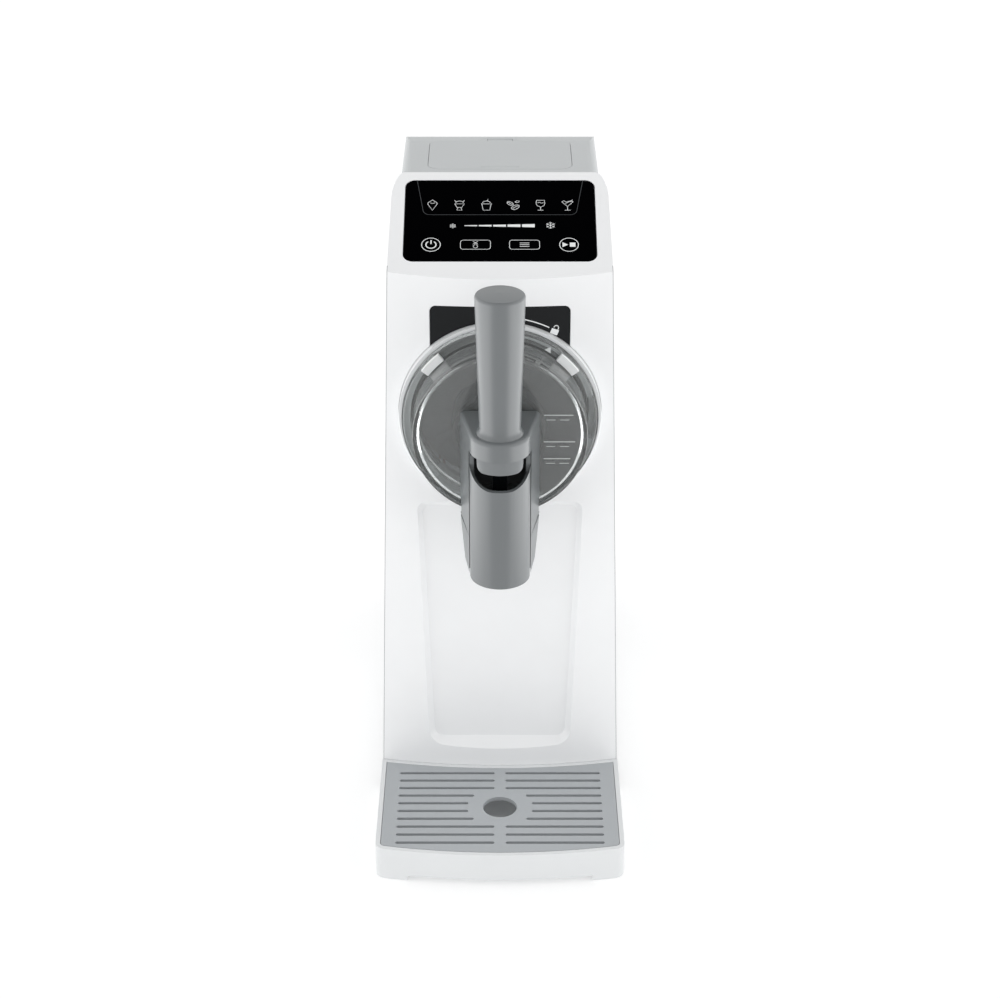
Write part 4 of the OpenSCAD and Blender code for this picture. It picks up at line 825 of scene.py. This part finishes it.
def onFront(piece, skin):
    # lays a print drawn about the vessel's axis on the bowed, leaning front, point by point
    settle(piece)
    for vertex in piece.data.vertices:
        x, up, out = vertex.co.x, vertex.co.y, vertex.co.z
        z = marks["axisZ"] * mm + up
        sag = marks["bow"] * mm - math.sqrt((marks["bow"] * mm) ** 2 - x * x)
        y = marks["frontFoot"] * mm + z * math.tan(math.radians(marks["lean"])) + sag + skin * mm
        vertex.co = (x, y - out, z)
    return piece


def spun(points, x, y, angle):
    # an outline turned about its own middle and set at x, y
    c, s = math.cos(math.radians(angle)), math.sin(math.radians(angle))
    return [(x + px * c - py * s, y + px * s + py * c) for px, py in points]


def makeMarks():
    radius, tilt, thick = marks["arcRadius"], marks["lockTilt"], marks["patchThick"]
    arc = inkLine(arcPoints(0, 0, radius, marks["arcFrom"], marks["arcTo"], 16), marks["arcLine"])
    lockX, lockY = ray(0, 0, marks["lockAngle"], radius)
    body = inkPatch(spun(roundBox(0, -1.0, 2.5, 1.9, 0.4)[:-1], lockX, lockY, tilt), thick)
    bow = [(1.5, 0.9), (1.5, 2.0)] + arcPoints(0, 2.0, 1.5, 0, 180, 8) + [(-1.5, 1.6)]
    shackle = inkLine(spun(bow, lockX, lockY, tilt), marks["lockLine"])
    lockPrint = onFront(joined([arc, body, shackle], "lockPrint"), marks["plateSkin"])
    dress(lockPrint, materials["ink_screenprinted_white"], "housing")

    angle = marks["arrowAngle"]
    arrowX, arrowY = ray(0, 0, angle, marks["arrowRadius"])
    arrow = inkPatch(spun([(-2.4, -1.5), (2.4, -1.5), (0, 2.2)], arrowX, arrowY, angle - 90), thick)
    placed(arrow, (0, marks["flangeFront"] - marks["skin"], marks["axisZ"]), (90, 0, 0))
    arrow.name = "twistArrow"
    dress(arrow, materials["ink_screenprinted_grey"], "vessel")

    # three level marks, each a long line over two short ones, on the clear front
    levels = []
    for low, left, right in levelRows:
        levels.append(inkLine([(left, low), (right, low)], marks["longLine"]))
        down = low - marks["shortDown"]
        for x in (left + 1.5, left + 10.5):
            levels.append(inkLine([(x, down), (x + marks["shortLong"], down)], marks["shortLine"]))
    place = (0, marks["faceFront"] - marks["skin"], marks["axisZ"])
    scale = placed(joined(levels, "levelMarks"), place, (90, 0, 0))
    dress(scale, materials["ink_screenprinted_level"], "vessel")


makeMarks()
print("marks placed")


# lens and sensor in mm, place in metres, tilt in degrees
view = {"lens": 75.6, "sensor": 36, "place": (0, -1.3385, 0.906), "pitchDown": 28.1}
deselectAll()
bpy.ops.object.camera_add(location=view["place"], rotation=(math.radians(90 - view["pitchDown"]), 0, 0))
camera = bpy.context.object
camera.name = "studioCamera"
camera.data.lens = view["lens"]
camera.data.sensor_width = view["sensor"]
camera.data.dof.use_dof = False
bpy.context.scene.camera = camera

# the floor's size in metres, how bright each wall of the tent is, and where in the air each wall is full
studio = {"floorWide": 0.8, "floorLong": 1.0, "floorFront": -0.42, "floorDrop": 0.0002,
          "floorColour": "#f0f0f0", "floorLift": 0.26, "fibresPerMetre": 600, "light": "#ffffff",
          "front": 0.8, "back": 0.9, "frontFull": -0.35, "backFull": 0.75,
          "side": 2.2, "sideHigh": 1.3, "sideFrom": 0.42, "sideFull": 0.8, "lowFull": -0.15, "highFull": 0.2,
          "flag": 0.03, "flagAim": (0.0, 0.256, 0.967), "flagRadius": 12.0, "flagFade": 5.0, "seen": 1.05}


def makeFloor():
    # matt backdrop paper, lit a little from below so that its edge melts into the air
    long = studio["floorLong"]
    middle = studio["floorFront"] + long / 2
    bpy.ops.mesh.primitive_plane_add(size=1, location=(0, middle, -studio["floorDrop"]))
    floor = bpy.context.object
    floor.scale = (studio["floorWide"], long, 1)
    settle(floor)
    floor.name = "studioFloor"
    material, tree, out, place = emptyMaterial("paper_backdrop_white")
    fibre = addNode(tree, "ShaderNodeTexNoise", inputs={"Scale": studio["fibresPerMetre"], "Detail": 2},
                    links={"Vector": (place, "Object")})
    bump = addNode(tree, "ShaderNodeBump", inputs={"Strength": 0.1, "Distance": 0.0001},
                   links={"Height": (fibre, "Fac")})
    shader = addNode(tree, "ShaderNodeBsdfPrincipled", links={"Normal": (bump, "Normal")}, inputs={
        "Base Color": linear(studio["floorColour"]), "Roughness": 0.9,
        "Emission Color": linear(studio["light"]), "Emission Strength": studio["floorLift"]})
    tree.links.new(shader.outputs["BSDF"], out.inputs["Surface"])
    floor.data.materials.append(material)


def makeAir():
    # a tent of soft light: bright side walls, dimmer ends, and a small black flag over the glass
    world = bpy.data.worlds.new("studioTent")
    bpy.context.scene.world = world
    world.use_nodes = True
    tree = world.node_tree
    tree.nodes.clear()
    out = addNode(tree, "ShaderNodeOutputWorld")
    place = addNode(tree, "ShaderNodeTexCoord")
    parts = addNode(tree, "ShaderNodeSeparateXYZ", links={"Vector": (place, "Generated")})
    sideways = addNode(tree, "ShaderNodeMath", {"operation": "ABSOLUTE"}, links={0: (parts, "X")})
    smooth = {"interpolation_type": "SMOOTHSTEP"}
    ends = addNode(tree, "ShaderNodeMapRange", smooth, links={"Value": (parts, "Y")}, inputs={
        "From Min": studio["frontFull"], "From Max": studio["backFull"],
        "To Min": studio["front"], "To Max": studio["back"]})
    wall = addNode(tree, "ShaderNodeMapRange", smooth, links={"Value": (sideways, "Value")}, inputs={
        "From Min": studio["sideFrom"], "From Max": studio["sideFull"], "To Min": 0, "To Max": 1})
    side = addNode(tree, "ShaderNodeMapRange", smooth, links={"Value": (parts, "Z")}, inputs={
        "From Min": studio["lowFull"], "From Max": studio["highFull"],
        "To Min": studio["side"], "To Max": studio["sideHigh"]})
    walls = addNode(tree, "ShaderNodeMix", {"data_type": "FLOAT"},
                    links={"Factor": (wall, "Result"), "A": (ends, "Result"), "B": (side, "Result")})
    toFlag = addNode(tree, "ShaderNodeVectorMath", {"operation": "DOT_PRODUCT"}, {1: studio["flagAim"]},
                     {0: (place, "Generated")})
    near, far = (math.cos(math.radians(studio["flagRadius"] + k * studio["flagFade"])) for k in (0, 1))
    shade = addNode(tree, "ShaderNodeMapRange", smooth, links={"Value": (toFlag, "Value")}, inputs={
        "From Min": far, "From Max": near, "To Min": 0, "To Max": 1})
    light = addNode(tree, "ShaderNodeMix", {"data_type": "FLOAT"}, {"B": studio["flag"]},
                    {"Factor": (shade, "Result"), "A": (walls, "Result")})
    colour = linear(studio["light"])
    tent = addNode(tree, "ShaderNodeBackground", inputs={"Color": colour},
                   links={"Strength": (light, "Result")})
    plain = addNode(tree, "ShaderNodeBackground", inputs={"Color": colour, "Strength": studio["seen"]})
    rays = addNode(tree, "ShaderNodeLightPath")
    both = addNode(tree, "ShaderNodeMixShader", links={
        "Fac": (rays, "Is Camera Ray"), 1: (tent, "Background"), 2: (plain, "Background")})
    tree.links.new(both.outputs["Shader"], out.inputs["Surface"])


deselectAll()
makeFloor()
makeAir()
bpy.context.scene.view_settings.view_transform = "Standard"
print("camera and studio ready")
